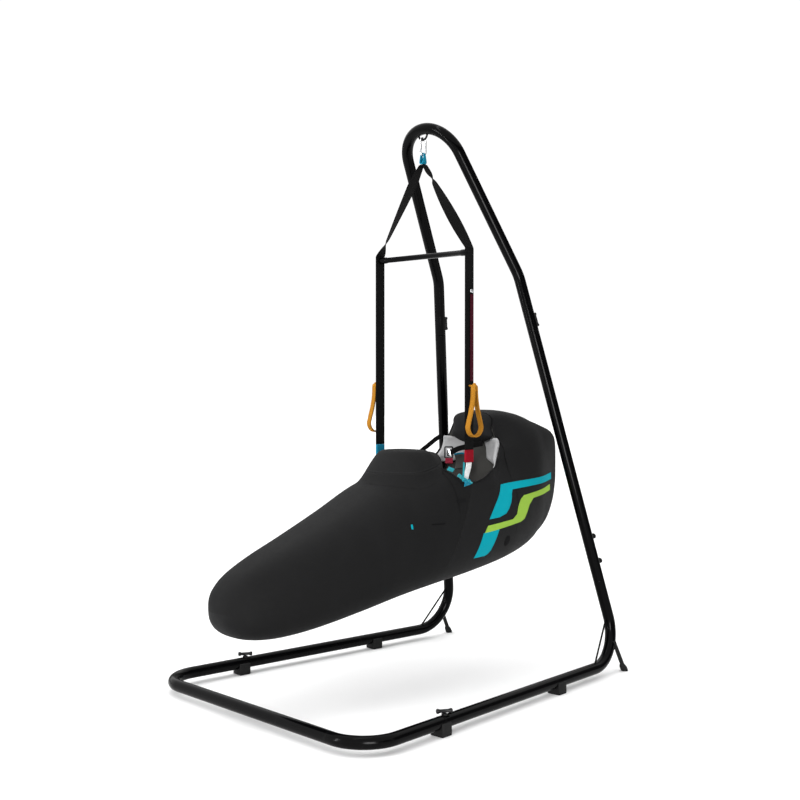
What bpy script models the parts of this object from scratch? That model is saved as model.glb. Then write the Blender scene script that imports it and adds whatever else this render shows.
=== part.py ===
"""Simulator for a paragliding pod harness: the pod hangs from two risers in a stand of bent steel tube.

Metres, +Z up. The pod's nose points to -Y, so the pilot's left is +X. Pieces are placed in the stand's own
frame, where y = 0 is the centre line of the front tube. The empty at the top of the tree then moves the whole
object by MIDDLE_Y, so that the middle of its bounding box stands on the origin.
"""

import math

import bmesh
import bpy
import numpy as np
from mathutils import Matrix, Vector

GAP = 0.0003

# Stand: centre lines of the tubes
TUBE_R = 0.021
TUBE_WALL = 0.0023
BASE_Z = 0.0406
FRONT_HALF = 0.548
FRONT_BEND = 0.130
HEEL = Vector((0.447, 1.419, BASE_Z))
HEEL_BEND = 0.145
SHOULDER = Vector((0.2085, 1.099, 1.5046))
SHOULDER_BEND = 0.17
ARCH_TOP = Vector((0.108, 0.798, 2.041))
ARCH_BEND = 0.093
BOW_END_Y = 0.352
PLUG_SHARE = 0.2115
SLIDE_SHARE = 0.8573
SPIGOT = 0.060
INNER_TUBE = 0.360
FOOT_YS = {"front": 0.352, "rear": 0.995}
FOOT_SIZE = (0.052, 0.046, 0.043)
KICK_FOOT = Vector((0.462, 1.430, 0.0))
KICK_TOP = Vector((0.4555, 1.374, 0.110))
BRACE_ON_RAIL_Y = 1.236
BRACE_ON_LEG_SHARE = 0.125
BRACE_R = 0.0035
BOLT_SHARES = {"low": 0.2545, "high": 0.319}
KNOB_SHARE = 0.884
BASE_KNOB_Y = 0.367
KNOB_REACH = 0.033

# Suspension, from the eyelet down
HANG_Y = ARCH_TOP.y
EYELET_R = 0.0032
EYELET_HALF = 0.0215
EYELET_Z = 2.000
CARABINER_R = 0.0035
CARABINER_HALF = 0.0135
CARABINER_LENGTH = 0.063
LOOP_R = 0.004
LOOP_HALF = 0.011
LOOP_LENGTH = 0.040
LOOP_FACET = 0.0008
BAR_Z = 1.570
BAR_R = 0.012
BAR_HALF = 0.2300
WEB = 0.045
WEB_THICK = 0.0032
RISER_TOP = 1.585
RISER_LOW = 0.865
CUFF_LOW = 0.820
RIM_Z = 0.746
RIM_X = 0.2138
LINK_BEND = 0.012
RISER_X = BAR_HALF + GAP + WEB_THICK / 2
HANDLE_OUT = 0.026
HANDLE_TOP = 1.092
HANDLE_LOW = 0.912
HANDLE_HALF = 0.040
HANDLE_R = 0.005

# Pod: cross sections from the nose back, as (y, lowest z, highest z, half width, z of the widest point)
SECTIONS = (
    (-0.137, 0.378, 0.392, 0.008, 0.385),
    (-0.128, 0.338, 0.428, 0.050, 0.385),
    (-0.100, 0.305, 0.460, 0.085, 0.386),
    (-0.040, 0.281, 0.500, 0.120, 0.388),
    (0.060, 0.272, 0.545, 0.148, 0.400),
    (0.200, 0.283, 0.598, 0.174, 0.425),
    (0.380, 0.312, 0.672, 0.200, 0.465),
    (0.540, 0.340, 0.742, 0.222, 0.520),
    (0.700, 0.362, 0.795, 0.242, 0.575),
    (0.860, 0.380, 0.870, 0.250, 0.615),
    (1.000, 0.396, 0.965, 0.240, 0.645),
    (1.120, 0.412, 0.995, 0.220, 0.665),
    (1.240, 0.436, 0.985, 0.190, 0.690),
    (1.340, 0.468, 0.958, 0.155, 0.725),
    (1.420, 0.520, 0.930, 0.122, 0.755),
    (1.475, 0.585, 0.912, 0.098, 0.770),
    (1.492, 0.640, 0.902, 0.090, 0.775),
)
SECTION_POINTS = 24
SECTION_POWER = 2.7
POD_WALL = 0.012
PAD_GAP = 0.0007
NOSE_Y = SECTIONS[0][0]
TAIL_Y = SECTIONS[-1][0]
MIDDLE_Y = (NOSE_Y + TAIL_Y) / 2
MOUTH = (
    (0.735, 1.300),
    (0.735, 0.840),
    (0.750, 0.790),
    (0.782, RIM_Z),
    (0.840, RIM_Z),
    (0.905, 0.768),
    (0.970, 0.820),
    (1.030, 0.870),
    (1.062, 0.905),
    (1.058, 0.960),
    (1.050, 1.300),
)
SEAM_TOP = (0.815, 0.746)
SEAM_LOW = (0.675, 0.400)
COCKPIT_CENTRE = (0.0, 0.715, 0.735)
COCKPIT_HALVES = (0.150, 0.180, 0.125)
COCKPIT_REAR_Y = 0.886

LEFT_RIGHT = (("left", 1), ("right", -1))


def side_of(point, side):
    """The same point on the left (+1) or on the right (-1)."""
    return Vector((point.x * side, point.y, point.z))


def on_leg(share, side):
    """A point on a leg's centre line: share 0 is the heel's corner and 1 is the shoulder's."""
    return side_of(HEEL.lerp(SHOULDER, share), side)


def leg_direction(side):
    return (on_leg(1, side) - on_leg(0, side)).normalized()


def on_rail(y, side):
    """A point on a base rail's centre line."""
    half = FRONT_HALF + (HEEL.x - FRONT_HALF) * y / HEEL.y
    return Vector((half * side, y, BASE_Z))


# Scene, collections and materials
def clear_scene():
    for obj in list(bpy.data.objects):
        bpy.data.objects.remove(obj, do_unlink=True)


def new_collection(name):
    made = bpy.data.collections.new(name)
    bpy.context.scene.collection.children.link(made)
    return made


def new_material(name, colour, roughness, metallic=0.0):
    made = bpy.data.materials.new(name)
    made.use_nodes = True
    shader = made.node_tree.nodes["Principled BSDF"]
    shader.inputs["Base Color"].default_value = (*colour, 1.0)
    shader.inputs["Roughness"].default_value = roughness
    shader.inputs["Metallic"].default_value = metallic
    return made


clear_scene()
PARTS = new_collection("paragliding_simulator")
CUTTERS = new_collection("cutters")
BLACK_PAINT = new_material("black_paint", (0.012, 0.012, 0.013), 0.3)
BLACK_PLASTIC = new_material("black_plastic", (0.015, 0.015, 0.016), 0.45)
RUBBER = new_material("rubber", (0.02, 0.02, 0.02), 0.8)
STEEL = new_material("steel", (0.75, 0.76, 0.78), 0.25, 1.0)
WEBBING = new_material("webbing", (0.02, 0.02, 0.022), 0.85)
TEAL = new_material("teal_webbing", (0.0, 0.32, 0.47), 0.8)
RED = new_material("red_webbing", (0.55, 0.01, 0.02), 0.8)
WHITE = new_material("white_webbing", (0.7, 0.7, 0.7), 0.8)
ORANGE = new_material("orange_webbing", (0.6, 0.27, 0.04), 0.7)
POD_FABRIC = new_material("pod_fabric", (0.016, 0.016, 0.017), 0.75)
LINING = new_material("grey_lining", (0.3, 0.3, 0.3), 0.9)


def add_object(name, data, material, collection=None):
    made = bpy.data.objects.new(name, data)
    (collection or PARTS).objects.link(made)
    if material:
        data.materials.append(material)
    return made


def as_cutter(obj):
    """A helper that only cuts or joins others: it is not a part."""
    for collection in list(obj.users_collection):
        collection.objects.unlink(obj)
    CUTTERS.objects.link(obj)
    obj.hide_render = True
    obj.display_type = "WIRE"
    return obj


def combine(obj, other, operation):
    modifier = obj.modifiers.new(operation.lower(), "BOOLEAN")
    modifier.operation = operation
    modifier.object = as_cutter(other)
    modifier.solver = "EXACT"
    return obj


def cut(obj, other):
    return combine(obj, other, "DIFFERENCE")


def join(obj, other):
    return combine(obj, other, "UNION")


def keep(obj, other):
    return combine(obj, other, "INTERSECT")


# Shapes
def mesh_object(name, bm, material, placement=None, smooth=True):
    bmesh.ops.recalc_face_normals(bm, faces=bm.faces[:])
    data = bpy.data.meshes.new(name)
    bm.to_mesh(data)
    bm.free()
    if smooth:
        data.shade_smooth()
        data.set_sharp_from_angle(angle=math.radians(35))
    made = add_object(name, data, material)
    if placement is not None:
        made.matrix_world = placement
    return made


def rod(name, start, end, radius, material, sides=16, end_radius=None):
    """A cylinder, or a cone with another radius at its end, between two points."""
    start, end = Vector(start), Vector(end)
    bm = bmesh.new()
    bmesh.ops.create_cone(
        bm,
        cap_ends=True,
        segments=sides,
        radius1=radius,
        radius2=radius if end_radius is None else end_radius,
        depth=(end - start).length,
    )
    turn = Vector((0, 0, 1)).rotation_difference(end - start).to_matrix().to_4x4()
    return mesh_object(name, bm, material, Matrix.Translation((start + end) / 2) @ turn)


def box(name, size, centre, material, turn_z=0.0, bevel=0.0):
    bm = bmesh.new()
    bmesh.ops.create_cube(bm, size=1.0, matrix=Matrix.Diagonal((*size, 1.0)))
    placement = Matrix.Translation(centre) @ Matrix.Rotation(turn_z, 4, "Z")
    made = mesh_object(name, bm, material, placement, smooth=False)
    if bevel:
        modifier = made.modifiers.new("edges", "BEVEL")
        modifier.width = bevel
        modifier.segments = 2
    return made


def prism(name, outline, half_x, material, centre_x=0.0):
    """An outline of (y, z) points, extruded along X."""
    bm = bmesh.new()
    ends = [
        [bm.verts.new((centre_x + x, y, z)) for y, z in outline] for x in (-half_x, half_x)
    ]
    for ring in ends:
        bm.faces.new(ring)
    for here in range(len(outline)):
        after = (here + 1) % len(outline)
        bm.faces.new((ends[0][here], ends[0][after], ends[1][after], ends[1][here]))
    return mesh_object(name, bm, material, smooth=False)


def rounded(corners, bend, step=math.radians(12), closed=False):
    """The points of a bent tube's centre line: straight runs, with an arc of the given radius at each corner."""
    corners = [Vector(c) for c in corners]
    count = len(corners)
    points = []
    for i, corner in enumerate(corners):
        if not closed and i in (0, count - 1):
            points.append(corner)
            continue
        radius = bend[i] if isinstance(bend, (list, tuple)) else bend
        back = (corners[i - 1] - corner).normalized()
        ahead = (corners[(i + 1) % count] - corner).normalized()
        half = back.angle(ahead) / 2
        centre = corner + (back + ahead).normalized() * radius / math.sin(half)
        first = corner + back * radius / math.tan(half) - centre
        last = corner + ahead * radius / math.tan(half) - centre
        turn = first.angle(last)
        steps = max(2, math.ceil(turn / step))
        for n in range(steps + 1):
            share = n / steps
            mixed = first * math.sin((1 - share) * turn) + last * math.sin(share * turn)
            points.append(centre + mixed / math.sin(turn))
    return points


def tube(name, points, radius, material, sides=16, closed=False):
    """A round tube along the points, closed by flat ends or into a ring."""
    data = bpy.data.curves.new(name, "CURVE")
    data.dimensions = "3D"
    data.bevel_depth = radius
    data.bevel_resolution = sides // 2 - 2
    data.use_fill_caps = not closed
    spline = data.splines.new("POLY")
    spline.points.add(len(points) - 1)
    for point, place in zip(spline.points, points):
        point.co = (*place, 1.0)
    spline.use_cyclic_u = closed
    return add_object(name, data, material)


def meshed(curve):
    """The curve's solid as a mesh object, which Booleans can cut."""
    graph = bpy.context.evaluated_depsgraph_get()
    graph.update()
    data = bpy.data.meshes.new_from_object(curve.evaluated_get(graph))
    bm = bmesh.new()
    bm.from_mesh(data)
    bmesh.ops.remove_doubles(bm, verts=bm.verts[:], dist=1e-5)
    bmesh.ops.recalc_face_normals(bm, faces=bm.faces[:])
    bm.to_mesh(data)
    bm.free()
    name = curve.name
    curve.name = name + "_curve"
    made = bpy.data.objects.new(name, data)
    PARTS.objects.link(made)
    made.matrix_world = curve.matrix_world.copy()
    bpy.data.objects.remove(curve, do_unlink=True)
    return made


def solid_tube(name, points, radius, material, sides=16, closed=False):
    return meshed(tube(name, points, radius, material, sides, closed))


def ribbon(name, stations, thickness, material, level=False):
    """Webbing lofted through stations of (centre, width vector), with flat sections, all horizontal if level."""
    bm = bmesh.new()
    rings = []
    for i, (centre, across) in enumerate(stations):
        before = stations[max(i - 1, 0)][0]
        after = stations[min(i + 1, len(stations) - 1)][0]
        along = Vector((0, 0, 1)) if level else after - before
        out = along.cross(across).normalized() * thickness / 2
        half = across / 2
        corners = (half + out, half - out, -half - out, -half + out)
        rings.append([bm.verts.new(centre + corner) for corner in corners])
    bm.faces.new(rings[0])
    bm.faces.new(rings[-1][::-1])
    for here, after in zip(rings, rings[1:]):
        for k in range(4):
            m = (k + 1) % 4
            corners = [here[k], after[k], after[m], here[m]]
            if k == 3:  # split as the wide face across from it, so that a twist keeps its thickness
                corners = [here[m], here[k], after[k], after[m]]
            bm.faces.new(corners[:3])
            bm.faces.new((corners[0], corners[2], corners[3]))
    return mesh_object(name, bm, material)


def smoothed(rows, steps):
    """Rows between the given ones, on a Catmull-Rom curve through them."""
    rows = np.asarray(rows, float)
    padded = np.vstack([2 * rows[0] - rows[1], rows, 2 * rows[-1] - rows[-2]])
    made = []
    for i in range(len(rows) - 1):
        p0, p1, p2, p3 = padded[i : i + 4]
        for n in range(steps):
            t = n / steps
            made.append(
                0.5
                * (
                    2 * p1
                    + (p2 - p0) * t
                    + (2 * p0 - 5 * p1 + 4 * p2 - p3) * t**2
                    + (3 * p1 - p0 - 3 * p2 + p3) * t**3
                )
            )
    made.append(rows[-1])
    return np.array(made)


def pod_section(row, inset):
    """The points of one cross section, moved inwards by the inset."""
    y, low, high, half, wide = row
    y = min(max(y, NOSE_Y + inset), TAIL_Y - inset)
    points = []
    for n in range(SECTION_POINTS):
        angle = 2 * math.pi * n / SECTION_POINTS
        c, s = math.cos(angle), math.sin(angle)
        x = (half - inset) * math.copysign(abs(c) ** (2 / SECTION_POWER), c)
        reach = high - inset - wide if s > 0 else wide - low - inset
        points.append(Vector((x, y, wide + reach * math.copysign(abs(s) ** (2 / SECTION_POWER), s))))
    return points


def pod_body(name, inset, material=None):
    """The pod's closed body, lofted through its cross sections."""
    bm = bmesh.new()
    rows = [row for row in smoothed(SECTIONS, 2) if row[3] > inset + 0.006]
    rings = [[bm.verts.new(p) for p in pod_section(row, inset)] for row in rows]
    bm.faces.new(rings[0])
    bm.faces.new(rings[-1][::-1])
    for here, after in zip(rings, rings[1:]):
        for k in range(SECTION_POINTS):
            m = (k + 1) % SECTION_POINTS
            bm.faces.new((here[k], after[k], after[m]))
            bm.faces.new((here[k], after[m], here[m]))
    return mesh_object(name, bm, material)


# Stand
def rail_path(side):
    ends = (on_rail(BOW_END_Y, side), side_of(HEEL, side), on_leg(PLUG_SHARE, side))
    return rounded(ends, HEEL_BEND)


def make_front_bow():
    corners = [
        on_rail(BOW_END_Y - GAP, 1),
        Vector((FRONT_HALF, 0, BASE_Z)),
        Vector((-FRONT_HALF, 0, BASE_Z)),
        on_rail(BOW_END_Y - GAP, -1),
    ]
    bow = solid_tube("front_bow", rounded(corners, FRONT_BEND), TUBE_R, BLACK_PAINT)
    for label, side in LEFT_RIGHT:
        ends = on_rail(BOW_END_Y - 0.01, side), on_rail(BOW_END_Y + SPIGOT, side)
        join(bow, rod(f"bow_spigot_{label}", *ends, TUBE_R - TUBE_WALL - GAP, None))


def make_rail(label, side):
    """A base rail bent up at the heel, with a socket for the bow and a spigot for the upright."""
    rail = solid_tube(f"rail_{label}", rail_path(side), TUBE_R, BLACK_PAINT)
    mouth = on_rail(BOW_END_Y - 0.01, side), on_rail(BOW_END_Y + SPIGOT + 0.002, side)
    cut(rail, rod(f"rail_socket_{label}", *mouth, TUBE_R - TUBE_WALL, None))
    top = on_leg(PLUG_SHARE, side)
    along = leg_direction(side)
    ends = top - along * 0.01, top + along * SPIGOT
    join(rail, rod(f"rail_spigot_{label}", *ends, TUBE_R - TUBE_WALL - GAP, None))


def make_upright(label, side):
    along = leg_direction(side)
    low = on_leg(PLUG_SHARE, side) + along * GAP
    top = on_leg(SLIDE_SHARE, side)
    upright = rod(f"upright_{label}", low, top, TUBE_R, BLACK_PAINT)
    reach = along * 0.01
    cut(upright, rod(f"upright_bore_{label}", low - reach, top + reach, TUBE_R - TUBE_WALL, None))
    outer = TUBE_R - TUBE_WALL - GAP
    inner = rod(f"inner_tube_{label}", top - along * INNER_TUBE, top, outer, STEEL)
    hole = rod(
        f"inner_bore_{label}", top - along * (INNER_TUBE + 0.01), top + reach, outer - 0.002, None
    )
    cut(inner, hole)


def rail_clearance(name, side):
    """A rail grown by the gap, which cuts the pieces that sit on it."""
    return solid_tube(name, rail_path(side), TUBE_R + GAP, None)


def make_foot(label, side, place, y):
    """A block under the rail, with a channel for the tube."""
    yaw = math.atan2((FRONT_HALF - HEEL.x) * side, HEEL.y)
    at = on_rail(y, side)
    centre = (at.x, y, FOOT_SIZE[2] / 2)
    foot = box(f"foot_{place}_{label}", FOOT_SIZE, centre, RUBBER, yaw, 0.003)
    channel = on_rail(y - 0.05, side), on_rail(y + 0.05, side)
    cut(foot, clearance_rod(f"channel_{place}_{label}", *channel))


def clearance_rod(name, start, end, sides=32):
    """A cutter around a straight stretch of tube, whose flats clear the tube by the gap."""
    return rod(name, start, end, (TUBE_R + GAP) / math.cos(math.pi / sides), None, sides)


def make_knob(name, base, out, bar, tube_along):
    """A T-shaped clamping knob: a boss on the tube, a stem and a crossbar."""
    out, bar, tube_along = out.normalized(), bar.normalized(), tube_along.normalized()
    tip = base + out * KNOB_REACH
    knob = rod(name, base + out * 0.012, base + out * (TUBE_R + 0.004), 0.0095, BLACK_PLASTIC)
    join(knob, rod(name + "_stem", base + out * 0.014, tip, 0.0045, None, 12))
    join(knob, rod(name + "_bar", tip - bar * 0.022, tip + bar * 0.022, 0.0055, None, 12))
    reach = tube_along * 0.03
    cut(knob, clearance_rod(name + "_seat", base - reach, base + reach))


def make_leg_fittings(label, side):
    along = leg_direction(side)
    back = Vector((0, 1, 0)) - along * along.y
    back.normalize()
    for place, share in BOLT_SHARES.items():
        at = on_leg(share, side)
        ends = at + back * (TUBE_R + GAP), at + back * 0.034
        bolt = rod(f"leg_bolt_{place}_{label}", *ends, 0.0055, BLACK_PLASTIC, 12)
        head = rod(f"bolt_head_{place}_{label}", at + back * 0.031, at + back * 0.039, 0.009, None, 12)
        join(bolt, head)
    kick = rod(f"kick_leg_{label}", side_of(KICK_FOOT, side), side_of(KICK_TOP, side), 0.0065, RUBBER, 12)
    low = side_of(KICK_FOOT, side)
    tread = rod(f"kick_tread_{label}", low, low + Vector((0, 0, 0.026)), 0.0135, None, 12, 0.0085)
    join(kick, tread)
    floor = box(f"kick_floor_{label}", (0.1, 0.1, 0.1), (low.x, low.y, -0.05), None)
    cut(kick, floor)
    cut(kick, rail_clearance(f"kick_seat_{label}", side))
    ends = on_rail(BRACE_ON_RAIL_Y, side), on_leg(BRACE_ON_LEG_SHARE, side)
    brace = rod(f"bend_brace_{label}", *ends, BRACE_R, BLACK_PAINT, 8)
    cut(brace, rail_clearance(f"brace_seat_{label}", side))


# Arch
def arch_path():
    corners = [
        on_leg(SLIDE_SHARE, 1) + leg_direction(1) * GAP,
        SHOULDER,
        ARCH_TOP,
        side_of(ARCH_TOP, -1),
        side_of(SHOULDER, -1),
        on_leg(SLIDE_SHARE, -1) + leg_direction(-1) * GAP,
    ]
    bends = [0, SHOULDER_BEND, ARCH_BEND, ARCH_BEND, SHOULDER_BEND, 0]
    return rounded(corners, bends)


def make_arch():
    tube("top_arch", arch_path(), TUBE_R, BLACK_PAINT)
    for label, side in LEFT_RIGHT:
        along = leg_direction(side)
        back = Vector((0, 1, 0)) - along * along.y
        make_knob(f"height_knob_{label}", on_leg(KNOB_SHARE, side), back, along, along)
    straight = Vector((0, HANG_Y, EYELET_Z))
    points = [straight + Vector((-EYELET_HALF, 0, EYELET_HALF + 0.02))]
    for n in range(13):
        angle = math.pi * (1 + n / 12)
        points.append(
            straight
            + Vector((EYELET_HALF * math.cos(angle), 0, EYELET_HALF * (1 + math.sin(angle))))
        )
    points.append(straight + Vector((EYELET_HALF, 0, EYELET_HALF + 0.02)))
    eyelet = solid_tube("eyelet", points, EYELET_R, BLACK_PAINT, 10)
    cut(eyelet, solid_tube("eyelet_seat", arch_path(), TUBE_R + GAP, None))


# Suspension
def long_ring(name, across, half, length, top, radius, material):
    """A closed ring with straight sides, hanging from its top centre in the plane of Z and the across vector."""
    points = []
    for n in range(16):
        angle = 2 * math.pi * (n + 0.5) / 16
        drop = half if math.sin(angle) > 0 else length - half
        points.append(
            top + across * half * math.cos(angle) + Vector((0, 0, half * math.sin(angle) - drop))
        )
    return tube(name, points, radius, material, 10, closed=True)


def make_hangers():
    top = Vector((0, HANG_Y, EYELET_Z + EYELET_R + CARABINER_R + GAP))
    across = Vector((0, 1, 0))
    long_ring("carabiner", across, CARABINER_HALF, CARABINER_LENGTH, top, CARABINER_R, STEEL)
    low = top.z - CARABINER_LENGTH
    top = Vector((0, HANG_Y, low + CARABINER_R + LOOP_R + GAP))
    long_ring("hanging_loop", Vector((1, 0, 0)), LOOP_HALF, LOOP_LENGTH, top, LOOP_R, TEAL)
    return top.z - LOOP_LENGTH - LOOP_R + LOOP_FACET


def make_v_strap(label, side, top_z):
    """Webbing from the loop to the bar's end, with a twist of almost half a turn."""
    start = Vector((0.0080, HANG_Y, top_z - GAP))
    end = Vector((RISER_X, HANG_Y, RISER_TOP + GAP))
    stations = []
    steps = 12
    for n in range(steps + 1):
        share = n / steps
        angle = math.radians(-60 + 150 * share)
        width = WEB * (0.45 + 0.55 * min(1, share * 5))
        centre = side_of(start.lerp(end, share), side)
        across = Vector((side * math.cos(angle), math.sin(angle), 0)) * width
        stations.append((centre, across))
    ribbon(f"v_strap_{label}", stations, WEB_THICK, WEBBING, level=True)


def make_risers():
    rod("spreader_bar", (-BAR_HALF, HANG_Y, BAR_Z), (BAR_HALF, HANG_Y, BAR_Z), BAR_R, BLACK_PLASTIC)
    for label, side in LEFT_RIGHT:
        x = side * RISER_X
        height = RISER_TOP - RISER_LOW
        middle = (x, HANG_Y, RISER_LOW + height / 2)
        box(f"riser_{label}", (WEB_THICK, WEB, height), middle, WEBBING)
        height = RISER_LOW - CUFF_LOW - GAP
        cuff = (x, HANG_Y, CUFF_LOW + height / 2)
        box(f"riser_cuff_{label}", (0.010, 0.040, height), cuff, RED if side > 0 else TEAL, bevel=0.002)
        make_hip_link(label, side)
        make_handle(label, side)


def make_hip_link(label, side):
    """The short strap that leans in from the riser's cuff to the pod's rim."""
    ends = ((RISER_X, CUFF_LOW - GAP), (RIM_X, RIM_Z + GAP))
    (x1, z1), (x2, z2) = ends
    route = (ends[0], (x1, z1 - LINK_BEND), (x2, z2 + LINK_BEND), ends[1])
    across = Vector((0, 0.026, 0))
    stations = [(Vector((side * x, HANG_Y, z)), across) for x, z in route]
    ribbon(f"hip_link_{label}", stations, 0.005, WHITE if side > 0 else TEAL)


def make_handle(label, side):
    """A brake toggle: a kite-shaped loop on a short tab from the riser."""
    x = side * (RISER_X + HANDLE_OUT)
    kite = (
        (0.010, HANDLE_TOP),
        (0.018, 1.020),
        (HANDLE_HALF, 0.958),
        (0.0, HANDLE_LOW + HANDLE_R),
        (-HANDLE_HALF, 0.958),
        (-0.018, 1.020),
        (-0.010, HANDLE_TOP),
    )
    corners = [Vector((x, HANG_Y + y, z)) for y, z in kite]
    path = rounded(corners, 0.008, math.radians(40), closed=True)
    handle = solid_tube(f"brake_handle_{label}", path, HANDLE_R, ORANGE, 8, closed=True)
    tab_z = HANDLE_TOP - 0.002
    inner = side * (RISER_X + WEB_THICK / 2 + GAP), HANG_Y, tab_z
    join(handle, rod(f"handle_tab_{label}", inner, (x, HANG_Y, tab_z), 0.0045, None, 8))


# Pod
def seam_block(name, behind):
    """A big block on one side of the slanting seam between the leg cover and the seat."""
    (y1, z1), (y2, z2) = SEAM_TOP, SEAM_LOW
    slope = (y1 - y2) / (z1 - z2)
    top, low = 1.4, 0.1
    gap = -GAP / 2 if behind else GAP / 2
    far = 3.0 if behind else -3.0
    outline = (
        (y1 + slope * (top - z1) + gap, top),
        (y1 + slope * (low - z1) + gap, low),
        (far, low),
        (far, top),
    )
    return prism(name, outline, 0.6, None)


def make_shell(name, behind):
    shell = pod_body(name, 0.0, POD_FABRIC)
    cut(shell, pod_body(name + "_hollow", POD_WALL))
    cut(shell, prism(name + "_mouth", MOUTH, 0.5, None))
    cut(shell, seam_block(name + "_rest", not behind))


def make_cockpit():
    bm = bmesh.new()
    bmesh.ops.create_uvsphere(bm, u_segments=24, v_segments=14, radius=1.0)
    placement = Matrix.Translation(COCKPIT_CENTRE) @ Matrix.Diagonal((*COCKPIT_HALVES, 1.0))
    bmesh.ops.transform(bm, matrix=placement, verts=bm.verts[:])
    cockpit = mesh_object("cockpit", bm, POD_FABRIC)
    cut(cockpit, pod_body("cockpit_seat", -PAD_GAP))
    rear = (0.0, COCKPIT_REAR_Y + 0.25, 0.8)
    cut(cockpit, box("cockpit_rear", (1.0, 0.5, 1.0), rear, None))


def make_inside():
    """The seat and the reclined back pad, which fill the shell to its wall."""
    outline = ((0.870, 0.30), (1.150, 0.30), (1.150, 0.470), (0.870, 0.440))
    seat = prism("seat_pad", outline, 0.5, LINING)
    keep(seat, pod_body("seat_fit", POD_WALL + PAD_GAP))
    outline = ((1.060, 0.4765), (1.130, 0.4765), (1.190, 0.940), (1.120, 0.940))
    back = prism("back_pad", outline, 0.5, LINING)
    keep(back, pod_body("back_fit", POD_WALL + PAD_GAP))
    for label, side in LEFT_RIGHT:
        route = (
            (0.115, 1.135, 0.872),
            (0.120, 1.060, 0.905),
            (0.128, 1.005, 0.895),
            (0.140, 0.955, 0.850),
            (0.150, 0.925, 0.790),
            (0.155, 0.915, 0.730),
        )
        across = Vector((side * 0.060, 0, 0))
        stations = [(Vector((side * x, y, z)), across) for x, y, z in smoothed(route, 2)]
        pad = ribbon(f"shoulder_pad_{label}", stations, 0.012, LINING)
        cut(pad, prism(f"pad_end_{label}", [(y - GAP, z) for y, z in outline], 0.5, None))


def make_pod():
    make_shell("leg_cover", False)
    make_shell("seat_shell", True)
    make_cockpit()
    make_inside()


# Tree of empties: each moving group hangs under the empty on its joint
GROUPS = {
    "simulator": (None, (0, 0, 0)),
    "arch_group": ("simulator", tuple(on_leg(SLIDE_SHARE, 0))),
    "carabiner_group": ("arch_group", (0, HANG_Y, EYELET_Z)),
    "loop_group": ("carabiner_group", (0, HANG_Y, EYELET_Z + EYELET_R + CARABINER_R + GAP - CARABINER_LENGTH)),
    "harness_group": ("loop_group", (0, HANG_Y, RISER_TOP)),
}
ARCH_NODES = ("top_arch", "eyelet", "height_knob_left", "height_knob_right")
HARNESS_STARTS = ("v_strap", "spreader", "riser", "hip_link", "brake_handle", "leg_cover", "seat_", "cockpit")


def group_of(name):
    if name in ARCH_NODES:
        return "arch_group"
    if name == "carabiner":
        return "carabiner_group"
    if name == "hanging_loop":
        return "loop_group"
    if name.startswith((*HARNESS_STARTS, "back_pad", "shoulder_pad")):
        return "harness_group"
    return "simulator"


def build_tree():
    empties = {}
    for name, (parent, place) in GROUPS.items():
        empty = bpy.data.objects.new(name, None)
        PARTS.objects.link(empty)
        empties[name] = empty
        if parent:
            empty.parent = empties[parent]
            empty.location = Vector(place) - Vector(GROUPS[parent][1])
    for obj in [*PARTS.objects, *CUTTERS.objects]:
        if obj.name in GROUPS:
            continue
        group = group_of(obj.name) if obj.name in PARTS.objects else "simulator"
        obj.parent = empties[group]
        obj.matrix_parent_inverse = Matrix.Translation(-Vector(GROUPS[group][1]))
    empties["simulator"].location.y = -MIDDLE_Y


def main():
    make_front_bow()
    for label, side in LEFT_RIGHT:
        make_rail(label, side)
        make_upright(label, side)
        for place, y in FOOT_YS.items():
            make_foot(label, side, place, y)
        along = on_rail(1, side) - on_rail(0, side)
        across = Vector((0.6, 1.0, 0))
        make_knob(f"base_knob_{label}", on_rail(BASE_KNOB_Y, side), Vector((0, 0, 1)), across, along)
        make_leg_fittings(label, side)
    make_arch()
    strap_top = make_hangers()
    for label, side in LEFT_RIGHT:
        make_v_strap(label, side, strap_top)
    make_risers()
    make_pod()
    build_tree()


main()
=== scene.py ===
"""Looks for the harness simulator: the painted stand, its fittings, the webbing and the sewn pod.

Lengths are in metres. Points are written in the stand's own frame, where y = 0 is the centre line of the front
tube, as in the source of the solids, and stand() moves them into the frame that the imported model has.
"""

from contextlib import contextmanager
from math import asin, atan2, ceil, copysign, cos, hypot, pi, radians, sin, tan

import bmesh
import bpy
from mathutils import Matrix, Vector


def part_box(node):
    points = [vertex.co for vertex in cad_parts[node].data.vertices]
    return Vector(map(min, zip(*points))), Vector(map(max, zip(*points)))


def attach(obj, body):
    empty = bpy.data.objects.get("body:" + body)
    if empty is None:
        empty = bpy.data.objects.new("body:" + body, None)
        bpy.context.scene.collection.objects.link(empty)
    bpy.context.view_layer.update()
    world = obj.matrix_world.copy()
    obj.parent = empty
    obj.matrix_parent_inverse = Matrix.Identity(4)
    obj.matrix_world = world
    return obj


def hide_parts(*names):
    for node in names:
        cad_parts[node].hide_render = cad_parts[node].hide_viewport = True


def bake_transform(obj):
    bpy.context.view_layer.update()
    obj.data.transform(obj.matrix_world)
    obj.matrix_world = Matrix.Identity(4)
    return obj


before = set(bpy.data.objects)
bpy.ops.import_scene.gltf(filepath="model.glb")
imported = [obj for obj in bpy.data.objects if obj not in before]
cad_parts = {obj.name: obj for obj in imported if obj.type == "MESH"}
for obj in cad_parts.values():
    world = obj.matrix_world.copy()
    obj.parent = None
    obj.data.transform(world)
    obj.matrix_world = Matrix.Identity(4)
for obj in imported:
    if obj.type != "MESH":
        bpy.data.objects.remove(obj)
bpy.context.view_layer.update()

MIDDLE_Y = 0.6775
LEFT_RIGHT = (("left", 1), ("right", -1))
X, Y, Z = Vector((1, 0, 0)), Vector((0, 1, 0)), Vector((0, 0, 1))

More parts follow.
